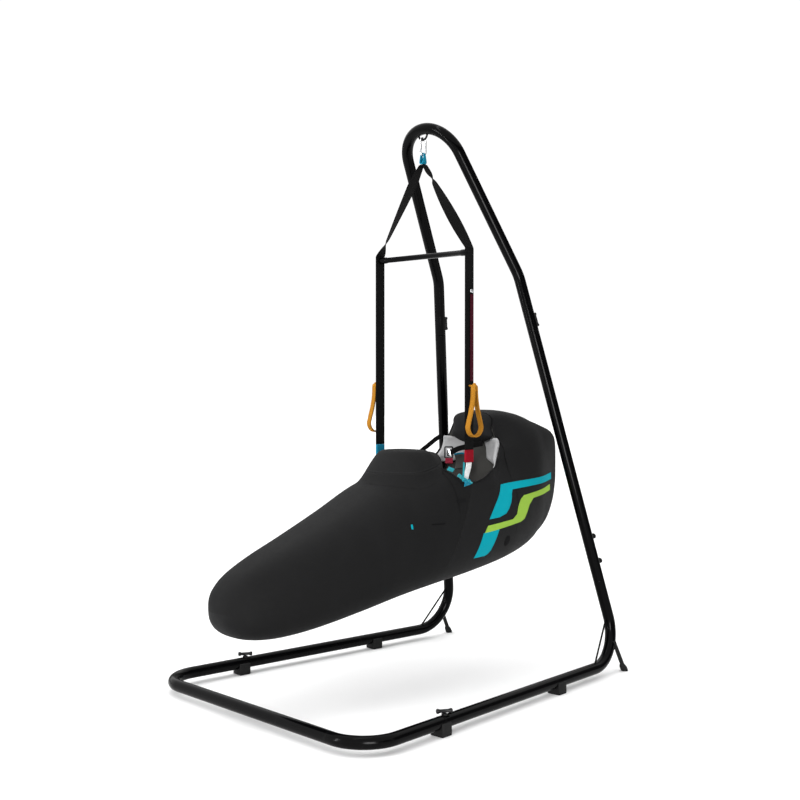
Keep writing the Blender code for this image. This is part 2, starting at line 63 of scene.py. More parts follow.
# Stand, as in the source of the solids
TUBE_R = 0.021
END_RING = 0.0028
GAP = 0.0003
BASE_Z = 0.0406
FRONT_HALF = 0.548
FRONT_BEND = 0.13
BOW_END_Y = 0.352
HEEL_BEND = 0.145
SHOULDER_BEND = 0.17
ARCH_BEND = 0.134
BEND_STEP = radians(4)
PLUG_SHARE = 0.2115
SLIDE_SHARE = 0.8573
INNER_TUBE = 0.36
INNER_TUBE_R = 0.0184
BOLT_SHARES = {"low": 0.2545, "high": 0.319}
KNOB_SHARE = 0.884
BASE_KNOB_Y = 0.367
KNOB_REACH = 0.033
FOOT_YS = {"front": 0.352, "rear": 0.995}
FOOT_SIZE = (0.052, 0.046, 0.043)
BRACE_ON_RAIL_Y = 1.236
BRACE_ON_LEG_SHARE = 0.125

# Links, straps and bar: wire radii, half widths and lengths
HANG_Y = 0.798
EYELET_R, EYELET_HALF = 0.0032, 0.0215
EYELET_Z = 2.0
HOOK_R, HOOK_HALF, HOOK_LENGTH = 0.0035, 0.0135, 0.063
HOOK_TOP = EYELET_Z + EYELET_R + HOOK_R + GAP
LOOP_R, LOOP_HALF, LOOP_LENGTH = 0.004, 0.0085, 0.04
LOOP_TOP = HOOK_TOP - HOOK_LENGTH + HOOK_R + LOOP_R + GAP
STRAP_TOP = LOOP_TOP - LOOP_LENGTH - LOOP_R + 0.0005
WEB = 0.045
WEB_THICK = 0.0032
BAR_Z = 1.57
BAR_HALF = 0.23
RISER_X = 0.2319
RISER_TOP = 1.585
RISER_LOW = 0.865
CUFF_LOW = 0.82
RIM_Z = 0.746
RIM_X = 0.2138
HANDLE_OUT = 0.026


def mm(*rows):
    """Rows of millimetres, in metres."""
    return [[value / 1000 for value in row] for row in rows]


# Pod, as in the source of the solids: y, lowest z, highest z, half width, z of the widest point
SECTIONS = mm(
    (-137, 378, 392, 8, 385), (-128, 338, 428, 50, 385), (-100, 305, 460, 85, 386), (-40, 281, 500, 120, 388),
    (60, 272, 545, 148, 400), (200, 283, 598, 174, 425), (380, 312, 672, 200, 465), (540, 340, 742, 222, 520),
    (700, 362, 795, 242, 575), (860, 380, 870, 250, 615), (1000, 396, 965, 240, 645), (1120, 412, 995, 220, 665),
    (1240, 436, 985, 190, 690), (1340, 468, 958, 155, 725), (1420, 520, 930, 122, 755),
    (1475, 585, 912, 98, 770), (1492, 640, 902, 90, 775),
)
SECTION_POWER = 2.7
TAIL_POWER = 1.6
# The mouth's edge, as (y, z)
RIM = mm(
    (735, 815), (750, 790), (782, 746), (840, 746), (875, 755), (905, 770), (921, 780), (975, 787), (1005, 795),
    (1022, 806), (1044, 830), (1058, 853), (1069, 871), (1073.2, 887), (1074.2, 900), (1076, 998),
)
BINDING_END = 1.03
SEAM_TOP = (0.815, 0.746)
SEAM_LOW = (0.675, 0.4)

# Cockpit deck: its middle, its reach to the seam to the side, forwards and back, and its height
DECK_Y = 0.69
DECK_SIDE = 0.14
DECK_FRONT = 0.12
DECK_REAR = 0.125
DECK_TOP = 0.861
DECK_CROWN = 0.01
DECK_POWER = 2.3

# Headrest: the padded wall that closes the hood in front, over a low edge that rises to its sides
WALL_Y = 1.0742
WALL_Z = 0.928
WALL_LOW = 0.866
WALL_LIFT = 0.029
WALL_SIDE = 0.105
WALL_BULGE = 0.04
CUSHION_GAP = 0.014


def stand(x, y, z):
    """A point of the stand's own frame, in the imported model's frame."""
    return Vector((x, y - MIDDLE_Y, z))


def side_of(point, side):
    """The same point on the left (+1) or on the right (-1)."""
    return Vector((point.x * side, point.y, point.z))


def both_sides(make):
    """Lets a function of a side's name and sign build left, then right."""

    def make_both():
        for label, side in LEFT_RIGHT:
            make(label, side)

    return make_both


HEEL = stand(0.447, 1.419, BASE_Z)
SHOULDER = stand(0.2085, 1.099, 1.5046)
ARCH_TOP = stand(0.1145, HANG_Y, 2.041)


def on_leg(share, side):
    return side_of(HEEL.lerp(SHOULDER, share), side)


def leg_direction(side):
    return (side_of(SHOULDER, side) - side_of(HEEL, side)).normalized()


def on_rail(y, side):
    share = y / (HEEL.y + MIDDLE_Y)
    return stand(side * (FRONT_HALF + (HEEL.x - FRONT_HALF) * share), y, BASE_Z)


def aim(thing, direction):
    """Turns a camera or a lamp to look along the direction."""
    thing.rotation_euler = direction.to_track_quat("-Z", "Y").to_euler()


# Camera
bpy.ops.object.camera_add(location=(3.034, -2.9475, 1.137))
camera = bpy.context.object
aim(camera, Vector((-0.717, 0.697, -0.0227)))
camera.data.sensor_width = 36
camera.data.lens = 52.26
camera.data.clip_end = 60
bpy.context.scene.camera = camera


# Materials
class Value:
    """A number that varies over a surface. Python's operators on it add the Math nodes."""

    def __init__(self, finish, socket):
        self.finish, self.socket = finish, socket

    def math(self, operation, *others):
        return self.finish.node("Math", [self, *others], operation=operation)

    def __rsub__(self, other):
        return self.finish.node("Math", [other, self], operation="SUBTRACT")

    def wave(self, period):
        """A sine of that period, from -1 to 1."""
        return (self * (2 * pi / period)).math("SINE")

    def ramp(self, low, high):
        """0 below low and 1 above high, with a soft step between them."""
        return self.finish.node("MapRange", [self, low, high], interpolation_type="SMOOTHSTEP")

    def near(self, place, width):
        """1 at the place and 0 further than the width from it."""
        return 1 - abs(self - place).ramp(0, width)


OPERATORS = {"add": "ADD", "radd": "ADD", "sub": "SUBTRACT", "mul": "MULTIPLY", "rmul": "MULTIPLY"}
OPERATORS |= {"gt": "GREATER_THAN", "lt": "LESS_THAN", "abs": "ABSOLUTE"}
for name, operation in OPERATORS.items():
    setattr(Value, f"__{name}__", lambda self, *others, kind=operation: self.math(kind, *others))


class Finish:
    """A material: its shader, and one method that adds any other node."""

    def __init__(self, name, specular=0.5, metallic=0.0):
        self.material = bpy.data.materials.new(name)
        self.material.use_nodes = True
        self.tree = self.material.node_tree
        self.shader = self.tree.nodes["Principled BSDF"]
        self.shader.inputs["Specular IOR Level"].default_value = specular
        self.shader.inputs["Metallic"].default_value = metallic

    def node(self, kind, inputs=(), output=0, **settings):
        made = self.tree.nodes.new("ShaderNode" + kind)
        for key, value in settings.items():
            setattr(made, key, value)
        for key, value in inputs.items() if isinstance(inputs, dict) else enumerate(inputs):
            if isinstance(value, Value):
                self.tree.links.new(value.socket, made.inputs[key])
            else:
                made.inputs[key].default_value = value
        return Value(self, made.outputs[output])

    def object_place(self):
        return self.node("TexCoord", output=3)

    def apart(self, where, count=3):
        return [self.node("SeparateXYZ", [where], n) for n in range(count)]

    def place(self):
        """x, y and z over the piece, in metres."""
        return self.apart(self.object_place())

    def marked(self, name):
        """A value that the piece's points carry under that name."""
        return self.node("Attribute", output=2, attribute_name=name)

    def noise(self, scale, detail=2.0, stretch=None):
        where = self.object_place()
        if stretch:
            where = self.node("VectorMath", [where, stretch], operation="MULTIPLY")
        return self.node("TexNoise", {"Vector": where, "Scale": scale, "Detail": detail})

    def cells(self, scale):
        return self.node("TexVoronoi", {"Vector": self.object_place(), "Scale": scale})

    def mix(self, factor, first, second):
        colours = [c if isinstance(c, Value) else (*c, 1.0) for c in (first, second)]
        return self.node("Mix", {0: factor, 6: colours[0], 7: colours[1]}, 2, data_type="RGBA")

    def paint(self, colour, rough, height=None, distance=0.0003, strength=1.0):
        """The material in that colour and roughness, with a bump of that height."""
        outputs = {"Base Color": colour, "Roughness": rough}
        if height:
            inputs = {"Strength": strength, "Distance": distance, "Height": height}
            outputs["Normal"] = self.node("Bump", inputs)
        for key, value in outputs.items():
            self.tree.links.new(value.socket, self.shader.inputs[key])
        return self.material


THREAD = (0.02, 0.02, 0.021)


def painted_tube(name):
    """Gloss black powder coat: faint orange peel, soft scuffs and floor dust low down."""
    finish = Finish(name, 0.055)
    z = finish.place()[2]
    peel = finish.noise(700, 1)
    scuff = finish.noise(14, 6, (3.0, 3.0, 0.6)).ramp(0.6, 0.76)
    dust = finish.noise(45, 5) * (1 - z.ramp(0.0, 0.07))
    colour = finish.mix(scuff * 0.5, (0.001, 0.001, 0.0012), (0.0034, 0.0034, 0.0038))
    colour = finish.mix(dust * 0.12, colour, (0.05, 0.048, 0.045))
    rough = 0.11 + scuff * 0.12 + dust * 0.3 + peel * 0.04
    return finish.paint(colour, rough, peel, 0.0002, 0.25)


def moulded(name, base, rough, grain):
    """Moulded plastic or rubber: a fine grain, paler where hands and floors rub it."""
    finish = Finish(name, 0.2)
    speck = finish.noise(grain, 3)
    rub = finish.noise(38, 6).ramp(0.55, 0.75)
    colour = finish.mix(rub * 0.35, base, [0.5 * c + 0.012 for c in base])
    return finish.paint(colour, rough + rub * 0.12 + speck * 0.08, speck, 0.0002, 0.5)


def plated(name, base, rough):
    """Zinc plate or bare alloy: fine drawn scratches and a cloudy film."""
    finish = Finish(name, metallic=1.0)
    cloud = finish.noise(60, 5)
    scratch = finish.noise(420, 3, (1.0, 1.0, 0.04))
    colour = finish.mix(cloud * 0.4, base, [0.78 * c for c in base])
    return finish.paint(colour, rough + cloud * 0.16 + scratch * 0.06, scratch, 0.0001, 0.4)


def woven_web(name, base, thread):
    """Webbing: a herringbone of 2 mm picks, with bar tacks at its sewn ends."""
    finish = Finish(name, 0.06)
    across, along = finish.apart(finish.node("UVMap", uv_map="Strap"), 2)
    column = across.wave(0.0078).math("SIGN")
    twill = (along + column * across * 0.9).wave(0.0022)
    soil = finish.noise(30, 5)
    shade = twill * 0.5 + 0.5
    colour = finish.mix(shade * 0.55 + soil * 0.25, base, [min(1.0, 1.7 * c + 0.003) for c in base])
    zigzag = abs(along.math("PINGPONG", 0.006) * 3.0 - abs(across)).ramp(0.0006, 0.0014)
    stitch = (1 - zigzag) * (finish.marked("sewn") > 0.5) * (0.4 + 0.6 * along.wave(0.0016))
    colour = finish.mix(stitch.ramp(0.2, 0.6), colour, thread)
    height = twill * 0.6 + across.wave(0.0013) * 0.4 + stitch * 1.5
    return finish.paint(colour, 0.72 + soil * 0.12 - shade * 0.06, height)


def pod_fabric(name, front, rear):
    """Stretch fabric: fine knit, faint bands of tension, a sewn seam and a patch on the nose."""
    finish = Finish(name, 0.12)
    x, y, z = finish.place()
    knit = finish.cells(900)
    band = finish.noise(5, 3, (1.0, 2.4, 1.0))
    soil = finish.noise(48, 5)
    lean = (SEAM_TOP[0] - SEAM_LOW[0]) / (SEAM_TOP[1] - SEAM_LOW[1])
    seam = (y - (SEAM_TOP[0] - MIDDLE_Y) - (z - SEAM_TOP[1]) * lean) * (1 / hypot(1, lean))
    colour = finish.mix(seam > 0, front, rear)
    colour = finish.mix(band.ramp(0.35, 0.75) * 0.3 + soil * 0.15, colour, [1.5 * c for c in rear])
    patch = (y < -0.083 - MIDDLE_Y) * (z < 0.377) * (abs(x) < 0.066)
    colour = finish.mix(patch * 0.6, colour, (0.0025, 0.0025, 0.003))
    stitch = seam.near(0.006, 0.0007) * (z.wave(0.0045).ramp(-0.3, 0.3))
    colour = finish.mix(stitch * 0.7, colour, THREAD)
    height = knit * 0.5 + band * 2.0 - seam.near(0, 0.0025) * 5.0 + stitch
    return finish.paint(colour, 0.62 + band * 0.16 + soil * 0.1 - patch * 0.15, height)


def deck_fabric(name, top, skirt):
    """The cockpit's two panels, which meet in a seam where the attribute "reach" is 1; the top panel's lighter
    colour is painted light falling on it from above.
    """
    finish = Finish(name, 0.12)
    reach = finish.marked("reach")
    knit = finish.cells(900)
    band = finish.noise(9, 3)
    soil = finish.noise(48, 5)
    # Painted light: the top gets a lighter colour than the skirt, standing in for light on the deck's upper side
    colour = finish.mix(reach > 1.0, top, skirt)
    colour = finish.mix(band.ramp(0.35, 0.75) * 0.3 + soil * 0.2, colour, [1.35 * c for c in top])
    stitch = reach.near(0.965, 0.006) * finish.noise(260, 0).ramp(0.42, 0.5)
    colour = finish.mix(stitch * 0.6, colour, THREAD)
    height = knit * 0.5 + band * 2.0 - reach.near(1.0, 0.022) * 5.0
    return finish.paint(colour, 0.64 + band * 0.14 + soil * 0.1, height)


def plain_cloth(name, base, cell=700, depth=0.0003):
    """Sewn panels, linings and pads: a small open knit with slight shading."""
    finish = Finish(name, 0.06)
    hole = finish.cells(cell)
    soil = finish.noise(22, 5)
    colour = finish.mix(hole.ramp(0.1, 0.7) * 0.35 + soil * 0.2, [0.72 * c for c in base], base)
    return finish.paint(colour, 0.7 + soil * 0.18, hole + soil * 0.6, depth)


def floor_finish():
    finish = Finish("pale_floor", 0.1)
    grain = finish.noise(6, 3)
    return finish.paint(finish.mix(grain, [0.92] * 3, [0.94] * 3), 0.8 + grain * 0.05)


# Each finish: its material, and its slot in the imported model
PAINT = painted_tube("gloss_black_paint"), "tube_black"
SLEEVE = PAINT[0], "sleeve_black"
PLASTIC = moulded("black_moulded_plastic", (0.004, 0.004, 0.0045), 0.36, 700), "knob_black"
RUBBER = moulded("black_rubber", (0.005, 0.005, 0.005), 0.66, 420), "rubber_black"
ZINC = plated("zinc_plated_steel", (0.62, 0.63, 0.65), 0.24), "bright_steel"
ALLOY = plated("polished_alloy", (0.8, 0.81, 0.83), 0.12), "alloy"
WEB_BLACK = woven_web("black_webbing", (0.0018, 0.0017, 0.0018), (0.01, 0.01, 0.011)), "web_black"
WEB_TEAL = woven_web("teal_webbing", (0.006, 0.17, 0.26), (0.2, 0.48, 0.56)), "web_teal"
WEB_AQUA = woven_web("light_teal_webbing", (0.022, 0.24, 0.28), (0.4, 0.62, 0.66)), "web_teal"
WEB_RED = woven_web("red_webbing", (0.26, 0.02, 0.04), (0.5, 0.12, 0.16)), "web_red"
WEB_MAROON = woven_web("maroon_speed_line", (0.036, 0.0022, 0.007), (0.1, 0.009, 0.022)), "web_red"
WEB_WHITE = woven_web("white_webbing", (0.66, 0.66, 0.66), (0.4, 0.4, 0.41)), "web_white"
WEB_ORANGE = woven_web("orange_webbing", (0.3, 0.128, 0.011), (0.6, 0.36, 0.07)), "web_orange"
POD = pod_fabric("pod_stretch_fabric", (0.0034, 0.0034, 0.0036), (0.0059, 0.0059, 0.0062)), "pod_black"
# The deck's first colour is its top with painted light on it, the second its skirt
DECK = deck_fabric("cockpit_fabric", (0.0062, 0.0062, 0.0064), (0.0042, 0.0042, 0.0044)), "pod_black"
BINDING = plain_cloth("edge_binding", (0.008, 0.008, 0.0084), 900, 0.0002), "pod_black"
INSIDE = plain_cloth("dark_lining", (0.085, 0.083, 0.078), 480, 0.00035), "pod_black"
CUSHION = INSIDE[0], "lining_grey"
GREY_MESH = plain_cloth("grey_mesh_lining", (0.46, 0.46, 0.465), 330, 0.0006), "lining_grey"
TEAL_PANEL = plain_cloth("teal_panel", (0.0005, 0.39, 0.48), 900, 0.0002), "web_teal"
LIME_PANEL = plain_cloth("lime_panel", (0.36, 0.6, 0.075), 900, 0.0002), "web_teal"
PORT_MESH = plain_cloth("black_port_mesh", (0.002, 0.002, 0.0024), 260, 0.001), "pod_black"
RED_CLOTH = plain_cloth("red_cuff", (0.27, 0.004, 0.014)), "web_red"
TEAL_CLOTH = plain_cloth("teal_cuff", (0.01, 0.22, 0.36)), "web_teal"


# Modelling
def choose(piece):
    bpy.ops.object.select_all(action="DESELECT")
    piece.select_set(True)
    bpy.context.view_layer.objects.active = piece


def start(kind, name, **settings):
    """A new primitive of that name, with its place in its mesh, alone selected."""
    bpy.ops.object.select_all(action="DESELECT")
    getattr(bpy.ops.mesh, f"primitive_{kind}_add")(**settings)
    bpy.ops.object.transform_apply(location=True, rotation=True, scale=True)
    piece = bpy.context.object
    piece.name = piece.data.name = name
    return piece


@contextmanager
def editing(piece, mode="EDGE"):
    """Edit mode, with all of the piece selected at first."""
    choose(piece)
    bpy.ops.object.mode_set(mode="EDIT")
    bpy.ops.mesh.select_mode(type=mode)
    bpy.ops.mesh.select_all(action="SELECT")
    yield
    bpy.ops.object.mode_set(mode="OBJECT")


def pick(piece, kind, test):
    """In edit mode, selects only the vertices, edges or faces that pass the test."""
    bpy.ops.mesh.select_all(action="DESELECT")
    mesh = bmesh.from_edit_mesh(piece.data)
    for item in getattr(mesh, kind):
        item.select = bool(test(item))
    mesh.select_flush(True)
    bmesh.update_edit_mesh(piece.data)


def push(way):
    """In edit mode, extrudes what is selected by that vector."""
    bpy.ops.mesh.extrude_region_move(TRANSFORM_OT_translate={"value": way})


def face_out(piece):
    with editing(piece):
        bpy.ops.mesh.normals_make_consistent(inside=False)


def modify(piece, kind, **settings):
    choose(piece)
    modifier = piece.modifiers.new(kind.title(), kind)
    for key, value in settings.items():
        setattr(modifier, key, value)
    bpy.ops.object.modifier_apply(modifier=modifier.name)


def tidy(piece):
    """Closes holes and seams, and turns every face outwards."""
    with editing(piece):
        bpy.ops.mesh.remove_doubles(threshold=1e-5)
        bpy.ops.mesh.select_all(action="SELECT")
        bpy.ops.mesh.fill_holes(sides=0)
        bpy.ops.mesh.normals_make_consistent(inside=False)


def soften(piece, width, segments=3, angle=50):
    settings = {"limit_method": "ANGLE", "angle_limit": radians(angle)}
    modify(piece, "BEVEL", width=width, segments=segments, **settings)


def joined(pieces, name):
    choose(pieces[0])
    for piece in pieces:
        piece.select_set(True)
    bpy.ops.object.join()
    made = bpy.context.object
    made.name = made.data.name = name
    return made


def turn_to(piece, origin, axis, side_axis=None):
    """Moves an upright piece so that its +Z lies on the axis and its +X near the side axis."""
    z = axis.normalized()
    x = (side_axis or z.orthogonal()).copy()
    x = (x - z * x.dot(z)).normalized()
    y = z.cross(x)
    piece.data.transform(Matrix.Translation(origin) @ Matrix((x, y, z)).transposed().to_4x4())


def done(piece, finish, *stands_for, body="harness", smooth=40):
    """The finished piece rides on its body, if one is given, in place of the CAD nodes that it stands for."""
    material, slot = finish
    choose(piece)
    bpy.ops.object.shade_smooth_by_angle(angle=radians(smooth))
    if not piece.data.materials:
        piece.data.materials.append(material)
    if body:
        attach(piece, body)
    if stands_for:
        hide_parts(*stands_for)


def block(name, size, centre):
    """A box of that size about its centre."""
    piece = start("cube", name, size=1)
    piece.data.transform(Matrix.Translation(centre) @ Matrix.Diagonal((*size, 1)))
    return piece


def bent_tube(name, corners, bends, radius=TUBE_R, sides=40):
    """A tube as bent in the shop: a ring pushed along straight runs and spun round bends."""
    ahead, last = (corners[1] - corners[0]).normalized(), (corners[-1] - corners[-2]).normalized()
    turn = ahead.to_track_quat("Z", "Y").to_euler()
    tube = start("circle", name, vertices=sides, radius=radius, location=corners[0], rotation=turn)
    here = corners[0] + ahead * END_RING
    with editing(tube):
        push(ahead * END_RING)
        for before, corner, after, bend in zip(corners, corners[1:], corners[2:], bends):
            back, on = (before - corner).normalized(), (after - corner).normalized()
            half = back.angle(on) / 2
            reach = bend / tan(half)
            push(corner + back * reach - here)
            centre = corner + (back + on).normalized() * bend / sin(half)
            angle = pi - 2 * half
            steps = ceil(angle / BEND_STEP)
            axis = on.cross(-back).normalized()
            bpy.ops.mesh.spin(steps=steps, angle=angle, center=centre, axis=axis)
            here = corner + on * reach
        push(corners[-1] - last * END_RING - here)
        push(last * END_RING)
    tidy(tube)
    soften(tube, 0.0012, 2)
    return tube


def turned(name, profile, sides, origin=None, axis=None):
    """A round piece on +Z, or on the axis from the origin, from its (radius, height) profile."""
    radius, height = profile[0]
    piece = start("circle", name, vertices=sides, radius=radius, location=(0, 0, height))
    with editing(piece):
        for (r1, z1), (r2, z2) in zip(profile, profile[1:]):
            push((0, 0, z2 - z1))
            bpy.ops.transform.resize(value=(r2 / r1, r2 / r1, 1), center_override=(0, 0, z2))
    tidy(piece)
    if axis:
        turn_to(piece, origin, axis)
    return piece


def cord_along(name, points, radius, closed=False, fine=4):
    """A thin round bar, wire or piping along the points."""
    bpy.ops.object.select_all(action="DESELECT")
    bpy.ops.curve.primitive_nurbs_path_add()
    path = bpy.context.object
    path.name = path.data.name = name
    path.data.splines.clear()
    spline = path.data.splines.new("POLY")
    spline.points.add(len(points) - 1)
    for place, point in zip(spline.points, points):
        place.co = (*point, 1)
    spline.use_cyclic_u = closed
    path.data.bevel_depth = radius
    path.data.bevel_resolution = fine
    path.data.use_fill_caps = not closed
    bpy.ops.object.convert(target="MESH")
    piece = bpy.context.object
    tidy(piece)
    return piece


def catmull_rom(a, b, c, d, t):
    quadratic, cubic = 2 * a - 5 * b + 4 * c - d, 3 * b - a - 3 * c + d
    return 0.5 * (2 * b + (c - a) * t + quadratic * t**2 + cubic * t**3)


def smoothed(rows, steps):
    """Rows between the given ones, on a Catmull-Rom curve through them."""
    first = [2 * a - b for a, b in zip(rows[0], rows[1])]
    last = [2 * a - b for a, b in zip(rows[-1], rows[-2])]
    padded = [first, *rows, last]
    made = []
    for four in zip(padded, padded[1:], padded[2:], padded[3:]):
        made += [[catmull_rom(*values, n / steps) for values in zip(*four)] for n in range(steps)]
    return [*made, list(rows[-1])]


def shares(count):
    """From 0 to 1 in that many even steps."""
    return [n / count for n in range(count + 1)]


def eased(low, high, value):
    """0 below low and 1 above high, with a soft step between them."""
    share = min(1.0, max(0.0, (value - low) / (high - low)))
    return share * share * (3 - 2 * share)


def lengths_along(points):
    """How far along the line each point lies."""
    lengths = [0.0]
    for here, after in zip(points, points[1:]):
        lengths.append(lengths[-1] + (after - here).length)
    return lengths


def even(points, count):
    """The same line with evenly spaced points."""
    lengths = lengths_along(points)
    made, at = [], 0
    for n in range(count + 1):
        reach = lengths[-1] * n / count
        while at < len(points) - 2 and lengths[at + 1] < reach:
            at += 1
        span = max(lengths[at + 1] - lengths[at], 1e-9)
        made.append(points[at].lerp(points[at + 1], min(1.0, (reach - lengths[at]) / span)))
    return made


def grid(name, columns, rows, place):
    """A sheet of columns by rows of faces, with corners at place(column, row)."""
    sheet = start("grid", name, x_subdivisions=columns, y_subdivisions=rows, size=2)
    for corner in sheet.data.vertices:
        x, y = (corner.co.x + 1) / 2 * columns, (corner.co.y + 1) / 2 * rows
        corner.co = place(round(x), round(y))
    return sheet


WEB_COLUMNS = 6


def strap(name, stations, thickness, sewn=0.045):
    """Webbing through (centre, width vector) stations, with a UV map in metres and marked sewn ends."""
    lengths = lengths_along([centre for centre, _ in stations])
    rows = len(stations) - 1

    def place(column, row):
        centre, across = stations[row]
        return centre + across * (column / WEB_COLUMNS - 0.5)

    piece = grid(name, WEB_COLUMNS, rows, place)
    layer = piece.data.uv_layers[0]
    layer.name = "Strap"
    for loop in layer.data:
        share, row = loop.uv.x, round(loop.uv.y * rows)
        loop.uv = (share - 0.5) * stations[row][1].length, lengths[row]
    mark = piece.data.attributes.new("sewn", "FLOAT", "POINT")
    for n, value in enumerate(mark.data):
        row = n // (WEB_COLUMNS + 1)
        value.value = 1.0 if min(lengths[row], lengths[-1] - lengths[row]) < sewn else 0.0
    modify(piece, "SOLIDIFY", thickness=thickness, offset=0, use_even_offset=True)
    soften(piece, thickness * 0.28, 2, 60)
    return piece


def webbing(name, stations, thickness, finish, *stands_for, sewn=0.045, body="harness"):
    done(strap(name, stations, thickness, sewn), finish, *stands_for, body=body, smooth=50)


def flat_strap(name, points, across, width, finish, thickness=0.002, sewn=0.02):
    """A strap that follows the points, with its width turned towards the given direction."""
    stations = []
    for before, here, after in zip([points[0], *points], points, [*points[1:], points[-1]]):
        along = (after - before).normalized()
        flat = (across - along * along.dot(across)).normalized()
        stations.append((here, flat * width))
    webbing(name, stations, thickness, finish, sewn=sewn)


# The pod's skin
SKIN_ROWS = smoothed(SECTIONS, 12)


def section(y):
    """Lowest z, highest z, half width and widest z of the pod at y."""
    y = min(max(y, SKIN_ROWS[0][0]), SKIN_ROWS[-1][0])
    for here, after in zip(SKIN_ROWS, SKIN_ROWS[1:]):
        if y <= after[0]:
            share = (y - here[0]) / max(after[0] - here[0], 1e-9)
            return [a + (b - a) * share for a, b in zip(here[1:], after[1:])]
    return SKIN_ROWS[-1][1:]


def girth(y, z):
    """The sewn pod's share of the solid's half width: less at the shoulders, head and tail."""
    shoulders = eased(0.9, 1.03, y) * (1 - eased(1.06, 1.3, y)) * eased(0.66, 0.82, z)
    head = eased(1.00, 1.05, y) * (1 - eased(1.05, 1.19, y)) * eased(0.856, 0.888, z)
    crown = 1 - eased(0.92, 1.01, z)
    return 1 - (0.25 * shoulders + 0.2 * head) * crown - 0.15 * eased(1.26, 1.5, y)


def fullness(y):
    """The power of the cross section's curve, which is squarer at the tail."""
    return SECTION_POWER + TAIL_POWER * eased(1.34, 1.47, y)


def skin_x(y, z):
    """Half the pod's width at that y and z."""
    low, high, half, wide = section(y)
    reach = high - wide if z > wide else wide - low
    share = min(1.0, abs(z - wide) / max(reach, 1e-6))
    power = fullness(y)
    return half * girth(y, z) * (1 - share**power) ** (1 / power)


def skin_top(x, y):
    """The height of the pod's closed upper side over x and y."""
    _, high, half, wide = section(y)
    share = min(1.0, abs(x) / half)
    return wide + (high - wide) * (1 - share**SECTION_POWER) ** (1 / SECTION_POWER)


def rim_height(y):
    """The height of the mouth's edge at y, or None where the pod is closed."""
    for (y1, z1), (y2, z2) in zip(RIM, RIM[1:]):
        if y1 <= y <= y2:
            height = z1 + (z2 - z1) * (y - y1) / (y2 - y1)
            return None if height >= section(y)[1] else height
    return None


def half_ring(y, count):
    """Evenly spaced points of a cross section's left half, from the belly to the rim or the top."""
    low, high, half, wide = section(y)
    rim = rim_height(y)
    power = fullness(y)
    top = pi / 2
    if rim is not None:
        top = asin(((rim - wide) / (high - wide)) ** (power / 2))
    points = []
    for n in range(241):
        angle = -pi / 2 + (top + pi / 2) * n / 240
        c, s = max(0.0, cos(angle)), sin(angle)
        reach = high - wide if s > 0 else wide - low
        z = wide + reach * copysign(abs(s) ** (2 / power), s)
        points.append(stand(half * girth(y, z) * c ** (2 / power), y, z))
    return even(points, count)


def mirrored(half):
    """A line from the right over the middle to the left, from its left half."""
    return [side_of(p, -1) for p in half[:0:-1]] + half


def skin_stations():
    """Where the cross sections go: closest at the nose, the mouth's ends and the tail."""
    marks = (-0.137, -0.118, -0.04, 0.73, 0.785, 1.02, 1.05, 1.08, 1.11, 1.36, 1.492)
    made = []
    for low, high, count in zip(marks, marks[1:], (6, 8, 34, 10, 18, 5, 14, 4, 14, 12)):
        made += [low + (high - low) * n / count for n in range(count)]
    return [*made, marks[-1]]


def make_pod_skin():
    stations = skin_stations()
    side_columns = 40
    rings = [mirrored(half_ring(y, side_columns)) for y in stations]
    skin = grid("pod_skin", 2 * side_columns, len(stations) - 1, lambda column, row: rings[row][column])
    ends = stations[0] - MIDDLE_Y, stations[-1] - MIDDLE_Y

    def at_an_end(edge):
        return edge.is_boundary and any(all(abs(v.co.y - y) < 1e-4 for v in edge.verts) for y in ends)

    with editing(skin):
        bpy.ops.mesh.remove_doubles(threshold=0.0004)
        pick(skin, "edges", at_an_end)
        bpy.ops.mesh.fill()
    face_out(skin)
    skin.data.materials.append(POD[0])
    skin.data.materials.append(INSIDE[0])
    lining = {"offset": -1, "material_offset": 1, "material_offset_rim": 0, "use_even_offset": False}
    modify(skin, "SOLIDIFY", thickness=0.009, **lining)
    done(skin, POD, "leg_cover", "seat_shell", smooth=60)


def make_binding():
    """The piping on the mouth's edge, back to the shoulder wings."""
    first = RIM[0][0]
    half = [stand(0.0, first, section(first)[1])]
    for y in [first + (BINDING_END - first) * n / 90 for n in range(91)]:
        rim = rim_height(y)
        if rim is not None:
            half.append(stand(skin_x(y, rim), y, rim))
    done(cord_along("mouth_binding", even(mirrored(half), 200), 0.0036), BINDING)


def deck_height(x, y, reach, back):
    """The cockpit's upper side: flat, with a hollow skirt in front and a round edge behind."""
    skin = skin_top(x, y)
    flat = DECK_TOP - DECK_CROWN * reach * reach
    fall = eased(0.5, 1.25, reach) * (1 - back) + eased(0.62, 1.04, reach) * back
    return skin + max(0.0, flat - skin) * (1 - fall)


def make_cockpit():
    """The padded deck in front of the pilot, which lies on the pod's upper side."""
    deck = start("uv_sphere", "cockpit_deck", segments=96, ring_count=64, radius=1)
    mark = deck.data.attributes.new("reach", "FLOAT", "POINT")
    for corner, value in zip(deck.data.vertices, mark.data):
        out = hypot(corner.co.x, corner.co.y)
        c, s = (corner.co.x / out, corner.co.y / out) if out > 1e-6 else (1.0, 0.0)
        norm = (abs(c) ** DECK_POWER + abs(s) ** DECK_POWER) ** (1 / DECK_POWER)
        back = eased(0.0, 0.8, s)
        reach = (1.25 - 0.23 * back) * out
        x = reach / norm * c * DECK_SIDE
        y = DECK_Y + reach / norm * s * (DECK_REAR if s > 0 else DECK_FRONT)
        low = skin_top(x, y) + 0.0004
        value.value = reach
        corner.co = stand(x, y, max(deck_height(x, y, reach, back), low) if corner.co.z > 0 else low)
    done(deck, DECK, "cockpit", smooth=60)


